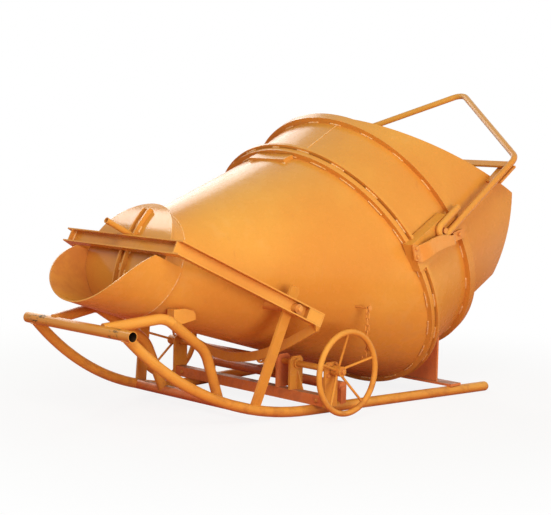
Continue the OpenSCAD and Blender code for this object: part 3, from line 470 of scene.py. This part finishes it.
def bolt_tree():
    """Hex heads on washers, one at each point, standing along the point's own direction."""
    tree, shop, given = tree_for("bolt_set", [("Head", "Float"), ("Paint", "Material")])
    head = given.other("Head")
    aim = shop.node(
        "GeometryNodeInputNamedAttribute", {"data_type": "FLOAT_VECTOR"}, {"Name": "aim"}
    )
    turn = shop.node("FunctionNodeAlignRotationToVector", {"axis": "Z"}, {"Vector": aim})
    washer = shop.node(
        "GeometryNodeMeshCylinder",
        None,
        {"Vertices": 24, "Radius": head * 1.25, "Depth": head * 0.24},
    )

    def tapered(sides, top, bottom, depth, lift):
        """A tapered prism standing above the washer, in shares of the head."""
        prism = shop.node(
            "GeometryNodeMeshCone",
            None,
            {"Vertices": sides, "Radius Top": head * top, "Radius Bottom": head * bottom,
             "Depth": head * depth},
        )
        rise = shop.node("ShaderNodeCombineXYZ", None, {2: head * lift})
        return shop.node("GeometryNodeTransform", None, {"Geometry": prism, "Translation": rise})

    hexagon = tapered(6, 0.93, 1.0, 0.62, 0.12)
    crown = tapered(12, 0.62, 0.84, 0.12, 0.74)
    bolt = shop.node("GeometryNodeJoinGeometry", None, {0: [washer, hexagon, crown]})
    set_down = shop.node(
        "GeometryNodeInstanceOnPoints",
        None,
        {"Points": given, "Instance": bolt, "Rotation": turn},
    )
    end_tree(shop, set_down, given.other("Paint"))
    return tree


def link_tree():
    """Round wire links standing on end, one at each point, twisted by the point's own angle."""
    tree, shop, given = tree_for(
        "chain_links",
        [("Wire", "Float"), ("Reach", "Float"), ("Bend", "Float"), ("Paint", "Material")],
    )
    bend = given.other("Bend")
    outline = shop.node(
        "GeometryNodeCurvePrimitiveQuadrilateral",
        None,
        {"Width": bend * 2.0, "Height": given.other("Reach")},
    )
    oval = shop.node(
        "GeometryNodeFilletCurve",
        {"mode": "POLY"},
        {"Curve": outline, "Count": 7, "Radius": bend * 0.985},
    )
    section = round_wire(shop, given.other("Wire"))
    bar = shop.node("GeometryNodeCurveToMesh", None, {"Curve": oval, "Profile Curve": section})
    twist = shop.node(
        "GeometryNodeInputNamedAttribute", {"data_type": "FLOAT"}, {"Name": "twist"}
    )
    upright = shop.node("ShaderNodeCombineXYZ", None, {0: math.pi / 2, 2: twist})
    hung = shop.node(
        "GeometryNodeInstanceOnPoints",
        None,
        {"Points": given, "Instance": smoothed(shop, bar), "Rotation": upright},
    )
    end_tree(shop, hung, given.other("Paint"))
    return tree


def bar_tree():
    """Round bar bent along a path, with closed ends."""
    tree, shop, given = tree_for("bent_bar", [("Wire", "Float"), ("Paint", "Material")])
    path = shop.node("GeometryNodeMeshToCurve", None, {"Mesh": given})
    section = round_wire(shop, given.other("Wire"))
    bar = shop.node(
        "GeometryNodeCurveToMesh",
        None,
        {"Curve": path, "Profile Curve": section, "Fill Caps": True},
    )
    end_tree(shop, smoothed(shop, bar), given.other("Paint"))
    return tree


def rolled_tree():
    """Rounds the shading of a rolled plate that is drawn in flat strips."""
    tree, shop, given = tree_for("rolled_plate", [("Crease", "Float")])
    bare = shop.node(
        "GeometryNodeRemoveAttribute", None, {"Geometry": given, "Name": "custom_normal"}
    )
    joined = shop.node(
        "GeometryNodeMergeByDistance", None, {"Geometry": bare, "Distance": JOIN_GAP}
    )
    crease = shop.node("GeometryNodeInputMeshEdgeAngle") > given.other("Crease")
    creased = shop.node(
        "GeometryNodeSetShadeSmooth",
        {"domain": "EDGE"},
        {"Geometry": smoothed(shop, joined), "Selection": crease, "Shade Smooth": False},
    )
    shop.node("NodeGroupOutput", None, {"Geometry": creased})
    return tree


def fed(modifier, tree, values):
    """Gives a modifier its tree and the values of the tree's named inputs."""
    modifier.node_group = tree
    for item in tree.interface.items_tree:
        if item.in_out == "INPUT" and item.name in values:
            modifier[item.identifier] = values[item.name]


def placed(name, mesh):
    """A new object of the scene, at the origin."""
    made = bpy.data.objects.new(name, mesh)
    bpy.context.scene.collection.objects.link(made)
    return made


def grown(name, tree, start, values, body):
    """Runs a tree on a start mesh and leaves a plain mesh that rides a body."""
    seed = placed(name + "_start", start)
    fed(seed.modifiers.new("grow", "NODES"), tree, values)
    bpy.context.view_layer.update()
    graph = bpy.context.evaluated_depsgraph_get()
    mesh = bpy.data.meshes.new_from_object(seed.evaluated_get(graph))
    mesh.name = name
    bpy.data.objects.remove(seed)
    piece = placed(name, mesh)
    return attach(piece, body)


def start_mesh(name, paths):
    """Polylines as one mesh of edges."""
    points, edges = [], []
    for path in paths:
        first = len(points)
        points += [tuple(p) for p in path]
        edges += [(first + i, first + i + 1) for i in range(len(path) - 1)]
    mesh = bpy.data.meshes.new(name)
    mesh.from_pydata(points, edges, [])
    return mesh


def start_points(name, places):
    """Loose points as one mesh."""
    mesh = bpy.data.meshes.new(name)
    mesh.from_pydata([tuple(p) for p in places], [], [])
    return mesh


JOIN_GAP = 0.00005
CONE_CREASE = 0.5
WELDS = weld_tree()
BOLTS = bolt_tree()
LINKS = link_tree()
BARS = bar_tree()
fed(NODES["cone"].modifiers.new("rolled", "NODES"), rolled_tree(), {"Crease": CONE_CREASE})


def welds(name, paths, body, step=0.007, width=0.0035, run=6, cycle=6):
    """Beads along the paths: so many of each cycle are laid, and the rest is a gap."""
    values = {
        "Step": step, "Width": width, "Run": float(run), "Cycle": float(cycle), "Paint": weld_bead
    }
    return grown(name, WELDS, start_mesh(name, paths), values, body)


def bolts(name, places, body, head):
    """Bolt heads of this radius, at places that are each a point and an outward direction."""
    mesh = start_points(name, [place for place, _ in places])
    aim = mesh.attributes.new("aim", "FLOAT_VECTOR", "POINT")
    for item, (_, way) in zip(aim.data, places):
        item.vector = way
    values = {"Head": head, "Paint": fitting_enamel}
    return grown(name, BOLTS, mesh, values, body)


def turns(first, last, count):
    """Angles in radians from first to last, given in degrees."""
    return [math.radians(first + (last - first) * i / count) for i in range(count + 1)]


def arc(middle, up, radius, angles):
    return [middle + (up * math.cos(a) + SIDE * math.sin(a)) * radius for a in angles]


def drum_arc(along, radius, first=0.0, last=360.0, count=180):
    return arc(RING + DRUM_AXIS * along, DRUM_UP, radius, turns(first, last, count))


def neck_arc(along, radius, first, last, count=96):
    return arc(PIVOT + NECK_AXIS * along, NECK_UP, radius, turns(first, last, count))


def gate_arc(radius, across, first, last, count=48):
    return [
        PIVOT + Vector((-math.cos(a) * radius, across, math.sin(a) * radius))
        for a in turns(first, last, count)
    ]


def saddle_arc(foot, way, radius, main, main_way, main_radius, count=40):
    """Where a branch pipe's skin meets the skin of the pipe it is coped onto."""
    way, main_way = way.normalized(), main_way.normalized()
    side = way.cross(main_way).normalized()
    over = way.cross(side)
    flat = way - main_way * way.dot(main_way)
    path, missed = [], False
    for a in turns(0, 720, 2 * count):
        skin = foot + (side * math.cos(a) + over * math.sin(a)) * radius
        gap = (skin - main) - main_way * (skin - main).dot(main_way)
        b, c = gap.dot(flat), gap.length_squared - main_radius**2
        root = b * b - flat.length_squared * c
        if root < 0.0:
            # The weld starts again behind the first place where the skins miss each other.
            path, missed = (path if missed else []), True
        elif len(path) <= count:
            path.append(skin + way * ((-b + math.sqrt(root)) / flat.length_squared))
    return path


def heading(climb, yaw, side):
    """The direction of a pipe that climbs, and yaws outwards on its side."""
    return Vector((
        math.cos(climb) * math.cos(yaw),
        side * math.cos(climb) * math.sin(yaw),
        math.sin(climb),
    ))


# Weld places: along the drum from its front ring's face, and how far a bead lies off the plate.
RING_FRONT, RING_FOOT, RING_RIM = -0.001, 0.0275, 0.0285
REAR_RING_FRONT, REAR_RING_BACK, REAR_WELD_END = 0.326, 0.373, 118
RING_BEAD, FOOT_BEAD, SEAM_BEAD, PIPE_BEAD, RIB_BEAD = 0.002, 0.0035, 0.0004, 0.0004, 0.001
SEAM_START, SEAM_STEP, SEAM_STEPS, SEAM_TURN = 0.05, 0.0277, 10, 0.19
NECK_SEAM, NECK_SEAM_R, NECK_SEAM_END = 0.4555, 0.2462, 104
CHUTE_SEAM, CHUTE_SEAM_R, CHUTE_SEAM_ENDS = 0.4645, 0.2622, (96, 264)
RIB_MIDDLE, RIB_HALF, RIB_ENDS = 0.020, 0.0052, (2.5, 42.5)

welds(
    "ring_stitch_welds",
    [drum_arc(RING_FOOT, SHELL_R + FOOT_BEAD), drum_arc(RING_RIM, RING_RIM_R)],
    "frame", step=0.008, width=0.0042, run=9, cycle=26,
)
welds(
    "ring_front_welds",
    [drum_arc(RING_FRONT, SHELL_R + RING_BEAD)],
    "frame", step=0.008, width=0.004, run=11, cycle=22,
)
welds(
    "ring_rear_welds",
    [
        drum_arc(REAR_RING_FRONT, SHELL_R + RING_BEAD),
        drum_arc(REAR_RING_BACK, SHELL_R + RING_BEAD, -REAR_WELD_END, REAR_WELD_END),
    ],
    "frame", step=0.008, width=0.004, run=8, cycle=24,
)
seam_out = DRUM_UP * math.cos(SEAM_TURN) - SIDE * math.sin(SEAM_TURN)
drum_seam = [
    RING + DRUM_AXIS * (SEAM_START + SEAM_STEP * i) + seam_out * (SHELL_R + SEAM_BEAD)
    for i in range(SEAM_STEPS + 1)
]
welds("drum_seam_weld", [drum_seam], "frame", width=0.0028)
welds(
    "neck_seam_weld",
    [neck_arc(NECK_SEAM, NECK_SEAM_R, -NECK_SEAM_END, NECK_SEAM_END)],
    "frame", width=0.0036,
)
welds(
    "chute_seam_weld",
    [neck_arc(CHUTE_SEAM, CHUTE_SEAM_R, *CHUTE_SEAM_ENDS)],
    "frame", width=0.0036,
)
welds(
    "gate_rib_welds",
    [
        gate_arc(GATE_R + RIB_BEAD, RIB_MIDDLE * s + RIB_HALF * t, *RIB_ENDS)
        for s in (NEAR, FAR)
        for t in (NEAR, FAR)
    ],
    "gate_lever", step=0.007, width=0.0045, run=4, cycle=15,
)

RUNNER_FALL, RUNNER_SPLAY, RUNNER_HALF = math.radians(45.96), math.radians(6.4), 0.322
HOOP_CLIMB, HOOP_YAW, HOOP_HALF = math.radians(6.0), math.radians(12.2), 0.175
HOOP_RISE = 0.011
front_pipe = at(0.0, 0.0, FRONT_Z)
for side, tag in SIDES:
    branches = (
        (at(0.0, side * RUNNER_HALF, FRONT_Z), heading(-RUNNER_FALL, RUNNER_SPLAY, side)),
        (at(0.0, side * HOOP_HALF, FRONT_Z + HOOP_RISE), heading(HOOP_CLIMB, HOOP_YAW, side)),
    )
    welds(
        "front_pipe_welds_" + tag,
        [
            saddle_arc(foot, way, PIPE_R, front_pipe, SIDE, PIPE_R + PIPE_BEAD)
            for foot, way in branches
        ],
        "frame", step=0.006, width=0.0036,
    )


def both_sides(x, out, z):
    """The same place on both sides, facing outwards."""
    return [(at(x, side * out, z), SIDE * side) for side in (NEAR, FAR)]


BEARING_BOLT_R, BEARING_FACE = 0.036, 0.5315
PIVOT_FACE, HUB_FACE = 0.5612, 0.600
BEAM_BOLT = (1.010, 0.470, 0.0735)
LUG_PIN = (0.945, -0.174, 0.240)
CRANK_PIN = (1.07205, -0.1725, 0.1316)
FORWARD = Vector((-1, 0, 0))
bearing_places = [
    (
        at(
            SHAFT_X + BEARING_BOLT_R * math.cos(a),
            side * BEARING_FACE,
            SHAFT_Z + BEARING_BOLT_R * math.sin(a),
        ),
        SIDE * side,
    )
    for side in (NEAR, FAR)
    for a in turns(45, 315, 3)
]
beam_places = [(place, FORWARD) for place, _ in both_sides(*BEAM_BOLT)]
bolts("bearing_bolts", bearing_places, "frame", 0.0085)
bolts("pivot_bolts", both_sides(PIVOT_X, PIVOT_FACE, PIVOT_Z), "frame", 0.015)
bolts("hub_bolts", both_sides(SHAFT_X, HUB_FACE, SHAFT_Z), "wheel_shaft", 0.012)
bolts("beam_bolts", beam_places, "frame", 0.010)
bolts("lug_pin_bolt", [(at(*LUG_PIN), SIDE * NEAR)], "gate_lever", 0.011)
bolts("crank_pin_bolt", [(at(*CRANK_PIN), SIDE * NEAR)], "wheel_shaft", 0.012)


# Plates that are worked one by one.
FLAT_ANGLE = 0.01
SHARP_ANGLE = 0.45


def settled(name, work, finish, body, edge, stands_for=None, smooth=True):
    """A worked mesh as a finished piece with softened edges."""
    bmesh.ops.recalc_face_normals(work, faces=work.faces)
    mesh = bpy.data.meshes.new(name)
    work.to_mesh(mesh)
    work.free()
    if smooth:
        mesh.shade_smooth()
        mesh.set_sharp_from_angle(angle=SHARP_ANGLE)
    mesh.materials.append(finish)
    piece = placed(name, mesh)
    soft = piece.modifiers.new("soft_edges", "BEVEL")
    soft.width = edge
    soft.segments = 2
    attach(piece, body)
    if stands_for:
        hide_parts(stands_for)
    return piece


def flattened(work):
    """Joins the triangles of each flat face."""
    bmesh.ops.dissolve_limit(work, angle_limit=FLAT_ANGLE, verts=work.verts, edges=work.edges)


def folded(name, hulls, body, edge):
    """Closed plates, each the hull of its corners."""
    work = bmesh.new()
    for corners in hulls:
        bmesh.ops.convex_hull(work, input=[work.verts.new(c) for c in corners])
    flattened(work)
    return settled(name, work, shell_enamel, body, edge, smooth=False)


def node_copy(name):
    """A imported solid's loose triangles joined into one worked mesh."""
    work = bmesh.new()
    solid = NODES[name].data
    spots = [work.verts.new(v.co) for v in solid.vertices]
    for face in solid.polygons:
        work.faces.new([spots[i] for i in face.vertices])
    bmesh.ops.remove_doubles(work, verts=work.verts, dist=JOIN_GAP)
    flattened(work)
    return work


def sliced(work, spot, across, drop_outer=False):
    """Cuts a worked mesh along a plane, and drops what lies beyond it where that is asked."""
    every = work.verts[:] + work.edges[:] + work.faces[:]
    return bmesh.ops.bisect_plane(
        work, geom=every, plane_co=spot, plane_no=across, clear_outer=drop_outer
    )


def trimmed(work, a, b, keep):
    """Cuts along the line a to b of the side view and keeps the side with the point keep."""
    (ax, az), (bx, bz) = a, b
    across = Vector((az - bz, 0.0, bx - ax)).normalized()
    if across.dot(at(keep[0], 0.0, keep[1]) - at(ax, 0.0, az)) > 0.0:
        across.negate()
    cut = sliced(work, at(ax, 0.0, az), across, drop_outer=True)
    rim = [e for e in cut["geom_cut"] if isinstance(e, bmesh.types.BMEdge)]
    bmesh.ops.edgeloop_fill(work, edges=rim)


# The saddle blocks, trimmed in the side view to the bars that show.
SADDLE_HEART = (0.400, 0.490)
SADDLE_CUTS = (
    ((0.340, 0.537), (0.460, 0.504)),
    ((0.456, 0.506), (0.476, 0.480)),
    ((0.388, 0.450), (0.470, 0.464)),
)
for solid, tag in (("saddle_r", "near"), ("saddle_l", "far")):
    block = node_copy(solid)
    for cut_from, cut_to in SADDLE_CUTS:
        trimmed(block, cut_from, cut_to, SADDLE_HEART)
    settled("saddle_bar_" + tag, block, shell_enamel, "frame", 0.003, solid)


# The lever's bow: distance from the middle plane and height of each sharp bend.
BOW_BENDS = ((0.0, 0.206), (0.150, 0.206), (0.354, 0.293), (0.575, 0.415))
BOW_SOFT = 0.170
BOW_SLICE, BOW_SLICES = 0.02, 27


def bow_line(across):
    """Height of the sharp bow at a distance from the middle plane."""
    reach = abs(across)
    for (y0, z0), (y1, z1) in zip(BOW_BENDS, BOW_BENDS[1:]):
        if reach <= y1 or y1 == BOW_BENDS[-1][0]:
            return z0 + (z1 - z0) * (reach - y0) / (y1 - y0)


def bow_rise(across, count=34):
    """How far the rolled bow lies above the sharp one."""
    spread = [across + BOW_SOFT * (2 * i / count - 1) for i in range(count + 1)]
    return sum(bow_line(y) for y in spread) / (count + 1) - bow_line(across)


bow = node_copy("lever_bow")
for i in range(-BOW_SLICES, BOW_SLICES + 1):
    sliced(bow, (0.0, BOW_SLICE * i, 0.0), SIDE)
for vert in bow.verts:
    vert.co.z += bow_rise(vert.co.y)
settled("lever_bow_rolled", bow, shell_enamel, "gate_lever", 0.0015, "lever_bow")

# Each row: the strap's upper edge, its lower edge, and how far out its skin lies.
STRAP_FOOT, STRAP_CREST = 0.7080, 0.7425
STRAP_ROWS = (
    ((1.380, 0.796), (1.404, 0.720), STRAP_FOOT),
    ((1.424, 0.790), (1.460, 0.712), STRAP_FOOT),
    ((1.458, 0.812), (1.496, 0.748), STRAP_CREST),
    ((1.540, 0.834), (1.588, 0.776), STRAP_CREST),
    ((1.640, 0.832), (1.656, 0.787), STRAP_CREST),
    ((1.674, 0.840), (1.692, 0.797), STRAP_FOOT),
    ((1.742, 0.855), (1.752, 0.811), STRAP_FOOT),
    ((1.762, 0.849), (1.768, 0.821), STRAP_FOOT),
)
STRAP_THICK = 0.010
STRAP_BOLTS = ((1.7225, 0.8315), (1.4045, 0.7770), (1.4165, 0.7370))


def eased(rows, count=8):
    """Rows of numbers with rounded passages between them."""
    ends = [rows[0]] + list(rows) + [rows[-1]]
    for i in range(1, len(ends) - 2):
        for k in range(count):
            t = k / count
            yield tuple(
                0.5 * (
                    2 * b + (c - a) * t + (2 * a - 5 * b + 4 * c - d) * t**2
                    + (3 * b - a - 3 * c + d) * t**3
                )
                for a, b, c, d in zip(*ends[i - 1:i + 3])
            )
    yield tuple(rows[-1])


for solid, tag, side in (("keeper_r", "near", NEAR), ("keeper_l", "far", FAR)):
    strap = bmesh.new()
    rows = [upper + lower + (out,) for upper, lower, out in STRAP_ROWS]
    rings = []
    for ux, uz, lx, lz, out in eased(rows):
        out = min(max(out, STRAP_FOOT), STRAP_CREST)
        skin, back = side * out, side * (out - STRAP_THICK)
        spots = (at(ux, skin, uz), at(lx, skin, lz), at(lx, back, lz), at(ux, back, uz))
        rings.append([strap.verts.new(p) for p in spots])
    for one, two in zip(rings, rings[1:]):
        for k in range(4):
            strap.faces.new((one[k], one[(k + 1) % 4], two[(k + 1) % 4], two[k]))
    strap.faces.new(rings[0])
    strap.faces.new(rings[-1])
    settled("keeper_strap_" + tag, strap, fitting_enamel, "frame", 0.0015, solid)

keeper_places = [
    (at(x, side * STRAP_FOOT, z), SIDE * side) for side in (NEAR, FAR) for x, z in STRAP_BOLTS
]
keeper_bolts = bolts("keeper_bolts", keeper_places, "frame", 0.011)
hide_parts("keeper_screws")


def tilted(x, y, z):
    """A point given from the pivot along, across and above the lever."""
    return PIVOT + Vector((
        x * math.cos(ARM_TILT) + z * math.sin(ARM_TILT),
        y,
        z * math.cos(ARM_TILT) - x * math.sin(ARM_TILT),
    ))


def lever_point(along, across, rise, side):
    """A point of one lever arm: along it from the pivot, across it from its web, and up."""
    x = along * math.cos(ARM_YAW) + across * math.sin(ARM_YAW)
    y = across * math.cos(ARM_YAW) - along * math.sin(ARM_YAW) - ARM_HALF
    return tilted(x, -y * side, rise)


def box_corners(low, high, side):
    xs, ys, zs = zip(low, high)
    return [lever_point(x, y, z, side) for x in xs for y in ys for z in zs]


# Plates at the lever's ends, as opposite corners on an arm, and the knee down to the bow.
COVER_PLATES = (
    ((0.062, -0.0378, -0.0257), (0.1338, -0.0328, 0.0257)),
    ((0.057, -0.0378, -0.0257), (0.0618, -0.0062, 0.0257)),
)
KNEE_BOW_X, KNEE_BOW_Y, KNEE_BOW_Z = (0.8802, 0.8998), (0.5752, 0.5802), (0.4152, 0.4300)
KNEE_ARM_X, KNEE_ARM_Y, KNEE_ARM_Z = (0.112, 0.1398), (-0.0378, -0.022), -0.0322
CORNER_X, CORNER_Y, CORNER_ENDS = -0.6015, 0.3705, (-0.0255, 0.0255)

for side, tag in SIDES:
    covers = [box_corners(low, high, side) for low, high in COVER_PLATES]
    folded("lever_end_cover_" + tag, covers, "gate_lever", 0.0012)
    bow_end = [at(x, side * y, z) for x in KNEE_BOW_X for y in KNEE_BOW_Y for z in KNEE_BOW_Z]
    arm_end = [lever_point(x, y, KNEE_ARM_Z, side) for x in KNEE_ARM_X for y in KNEE_ARM_Y]
    folded("lever_knee_" + tag, [bow_end + arm_end], "gate_lever", 0.002)
    corner = [tilted(CORNER_X, CORNER_Y * side, z) for z in CORNER_ENDS]
    welds("lever_corner_weld_" + tag, [corner], "gate_lever", step=0.006, width=0.004)

# Tack welds along the front lower edge of the pad on the drum.
PAD_EDGE_DEPTH = 0.004
PAD_STEPS = 20
pad_corners = sorted({tuple(round(c, 4) for c in v.co) for v in NODES["top_pad"].data.vertices})
pad_front = min(Vector(c).dot(DRUM_AXIS) for c in pad_corners)
pad_edge = [
    Vector(c) for c in pad_corners if Vector(c).dot(DRUM_AXIS) < pad_front + PAD_EDGE_DEPTH
]
pad_near, pad_far = [
    min((c for c in pad_edge if c.y * side > 0), key=lambda c: c.dot(DRUM_UP))
    for side in (NEAR, FAR)
]
pad_line = [pad_near + (pad_far - pad_near) * (i / PAD_STEPS) for i in range(PAD_STEPS + 1)]
welds("pad_tack_welds", [pad_line], "frame", step=0.008, width=0.005, run=3, cycle=9)

# The chain: every second link is turned across, and the upper links twist a little more each.
CHAIN_TOP = (1.212, -0.590, 0.49015)
CHAIN_LINKS, LINK_PITCH = 7, 0.028
LINK_TWIST, LINK_TWISTS, LINK_CROSS = 15, 3, 90
LINK_SIZES = {"Wire": 0.003, "Reach": 0.0343, "Bend": 0.0076}
link_spots, link_twists = [], []
for k in range(CHAIN_LINKS):
    link_spots.append(at(CHAIN_TOP[0], CHAIN_TOP[1], CHAIN_TOP[2] - k * LINK_PITCH))
    link_twists.append(math.radians(min(k, LINK_TWISTS) * LINK_TWIST + k % 2 * LINK_CROSS))
links_start = start_points("chain_links", link_spots)
twist = links_start.attributes.new("twist", "FLOAT", "POINT")
for item, angle in zip(twist.data, link_twists):
    item.value = angle
chain_links = grown(
    "chain_links", LINKS, links_start, {**LINK_SIZES, "Paint": fitting_enamel},
    "chain",
)
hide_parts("chain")

# The hook below the last link, bent from one bar: an eye, a neck, a shank and a bight.
HOOK_LEFT = Vector((-math.sqrt(0.5), math.sqrt(0.5), 0.0))
HOOK_DROP, HOOK_NECK, HOOK_SHANK = 0.0187, 0.014, 0.0315
HOOK_EYE_R, HOOK_BIGHT_R, HOOK_WIRE = 0.0078, 0.0095, 0.0024


def lowered(point, drop):
    return point + Vector((0.0, 0.0, -drop))


hook_eye = lowered(link_spots[-1], HOOK_DROP)
hook_shank = lowered(hook_eye, HOOK_SHANK)
eye_path = [
    lowered(hook_eye + HOOK_LEFT * HOOK_EYE_R * math.sin(a), HOOK_EYE_R * math.cos(a))
    for a in turns(330, 20, 24)
]
bight_path = [
    lowered(
        hook_shank + HOOK_LEFT * (HOOK_BIGHT_R - HOOK_BIGHT_R * math.cos(a)),
        HOOK_BIGHT_R * math.sin(a),
    )
    for a in turns(0, 200, 16)
]
hook_path = eye_path + [lowered(hook_eye, HOOK_NECK)] + bight_path
grown(
    "chain_hook", BARS, start_mesh("chain_hook", [hook_path]),
    {"Wire": HOOK_WIRE, "Paint": fitting_enamel}, "chain",
)

# The studio and the photograph's viewpoint.
FLOOR_HALF = 30.0
DOME_STRENGTH = 0.38
LAMP_WHITE, KEY_WHITE, FILL_WHITE = (1.0, 0.98, 0.93), (1.0, 1.0, 0.93), (1.0, 0.95, 0.90)
PHOTO_YAW, PHOTO_PITCH, PHOTO_ROLL = math.radians(44.88), math.radians(5.38), math.radians(1.40)
PHOTO_EYE = (-3.658, -4.8689, 1.333)
PHOTO_LENS, PHOTO_SENSOR, PHOTO_REACH = 92.29, 36.0, 200.0


def stage_floor():
    half = FLOOR_HALF
    mesh = bpy.data.meshes.new("floor")
    corners = [(-half, -half, 0), (half, -half, 0), (half, half, 0), (-half, half, 0)]
    mesh.from_pydata(corners, [], [(0, 1, 2, 3)])
    mesh.materials.append(material("floor_paper", floor_paper))
    made = placed("floor", mesh)


def sky():
    """A soft dome for the light, a white page for the camera."""
    world = bpy.data.worlds.new("studio")
    bpy.context.scene.world = world
    world.use_nodes = True
    world.node_tree.nodes.clear()
    shop = Shop(world.node_tree)
    straight, mirrored = rays_seen(shop)
    dome = shop.node(
        "ShaderNodeBackground", None, {"Color": DOME_WARM, "Strength": DOME_STRENGTH}
    )
    page = shop.node("ShaderNodeBackground", None, {"Color": PAGE_WHITE, "Strength": 1.0})
    seen = shop.node("ShaderNodeMixShader", None, {0: straight + mirrored, 1: dome, 2: page})
    shop.node("ShaderNodeOutputWorld", None, {"Surface": seen})


def lamp(name, place, target, size, watts, colour, card=False):
    """A round lamp; a card only shows as a highlight in the enamel."""
    light = bpy.data.lights.new(name, "AREA")
    light.shape = "DISK"
    light.size = size
    light.energy = watts
    light.color = colour
    made = placed(name, light)
    aim = (Vector(target) - Vector(place)).to_track_quat("-Z", "Y")
    made.matrix_world = Matrix.Translation(place) @ aim.to_matrix().to_4x4()
    made.visible_glossy = card
    made.visible_diffuse = not card
    made.visible_camera = False


def camera():
    """The photograph's viewpoint: level with the drum, a long lens, a slight lean."""
    ahead = Vector((
        math.sin(PHOTO_YAW) * math.cos(PHOTO_PITCH),
        math.cos(PHOTO_YAW) * math.cos(PHOTO_PITCH),
        -math.sin(PHOTO_PITCH),
    ))
    right = Vector((math.cos(PHOTO_YAW), -math.sin(PHOTO_YAW), 0.0))
    up = right.cross(ahead)
    lean_right = right * math.cos(PHOTO_ROLL) + up * math.sin(PHOTO_ROLL)
    lean_up = up * math.cos(PHOTO_ROLL) - right * math.sin(PHOTO_ROLL)
    lens = bpy.data.cameras.new("photo_camera")
    lens.sensor_fit = "HORIZONTAL"
    lens.sensor_width = PHOTO_SENSOR
    lens.lens = PHOTO_LENS
    lens.clip_end = PHOTO_REACH
    made = placed("photo_camera", lens)
    turn = Matrix((lean_right, lean_up, -ahead)).transposed().to_4x4()
    made.matrix_world = Matrix.Translation(at(*PHOTO_EYE)) @ turn
    bpy.context.scene.camera = made


stage_floor()
sky()
lamp("key", (-4.2, -3.9, 4.9), (0.1, 0.0, 0.8), 3.0, 172.0, KEY_WHITE)
lamp("fill", (-2.6, -6.4, 0.9), (0.0, 0.0, 0.7), 3.0, 262.0, FILL_WHITE)
lamp("rim", (2.6, 5.2, 2.9), (-0.2, 0.0, 1.0), 3.0, 150.0, LAMP_WHITE)
lamp("cone_card", (0.9, 4.6, 3.1), (-0.3, 0.0, 0.9), 4.5, 125.0, LAMP_WHITE, card=True)
lamp("gate_card", (-1.9, 4.2, 4.7), (-1.0, 0.0, 0.9), 1.6, 62.0, LAMP_WHITE, card=True)
camera()
bpy.context.scene.view_settings.view_transform = "Standard"
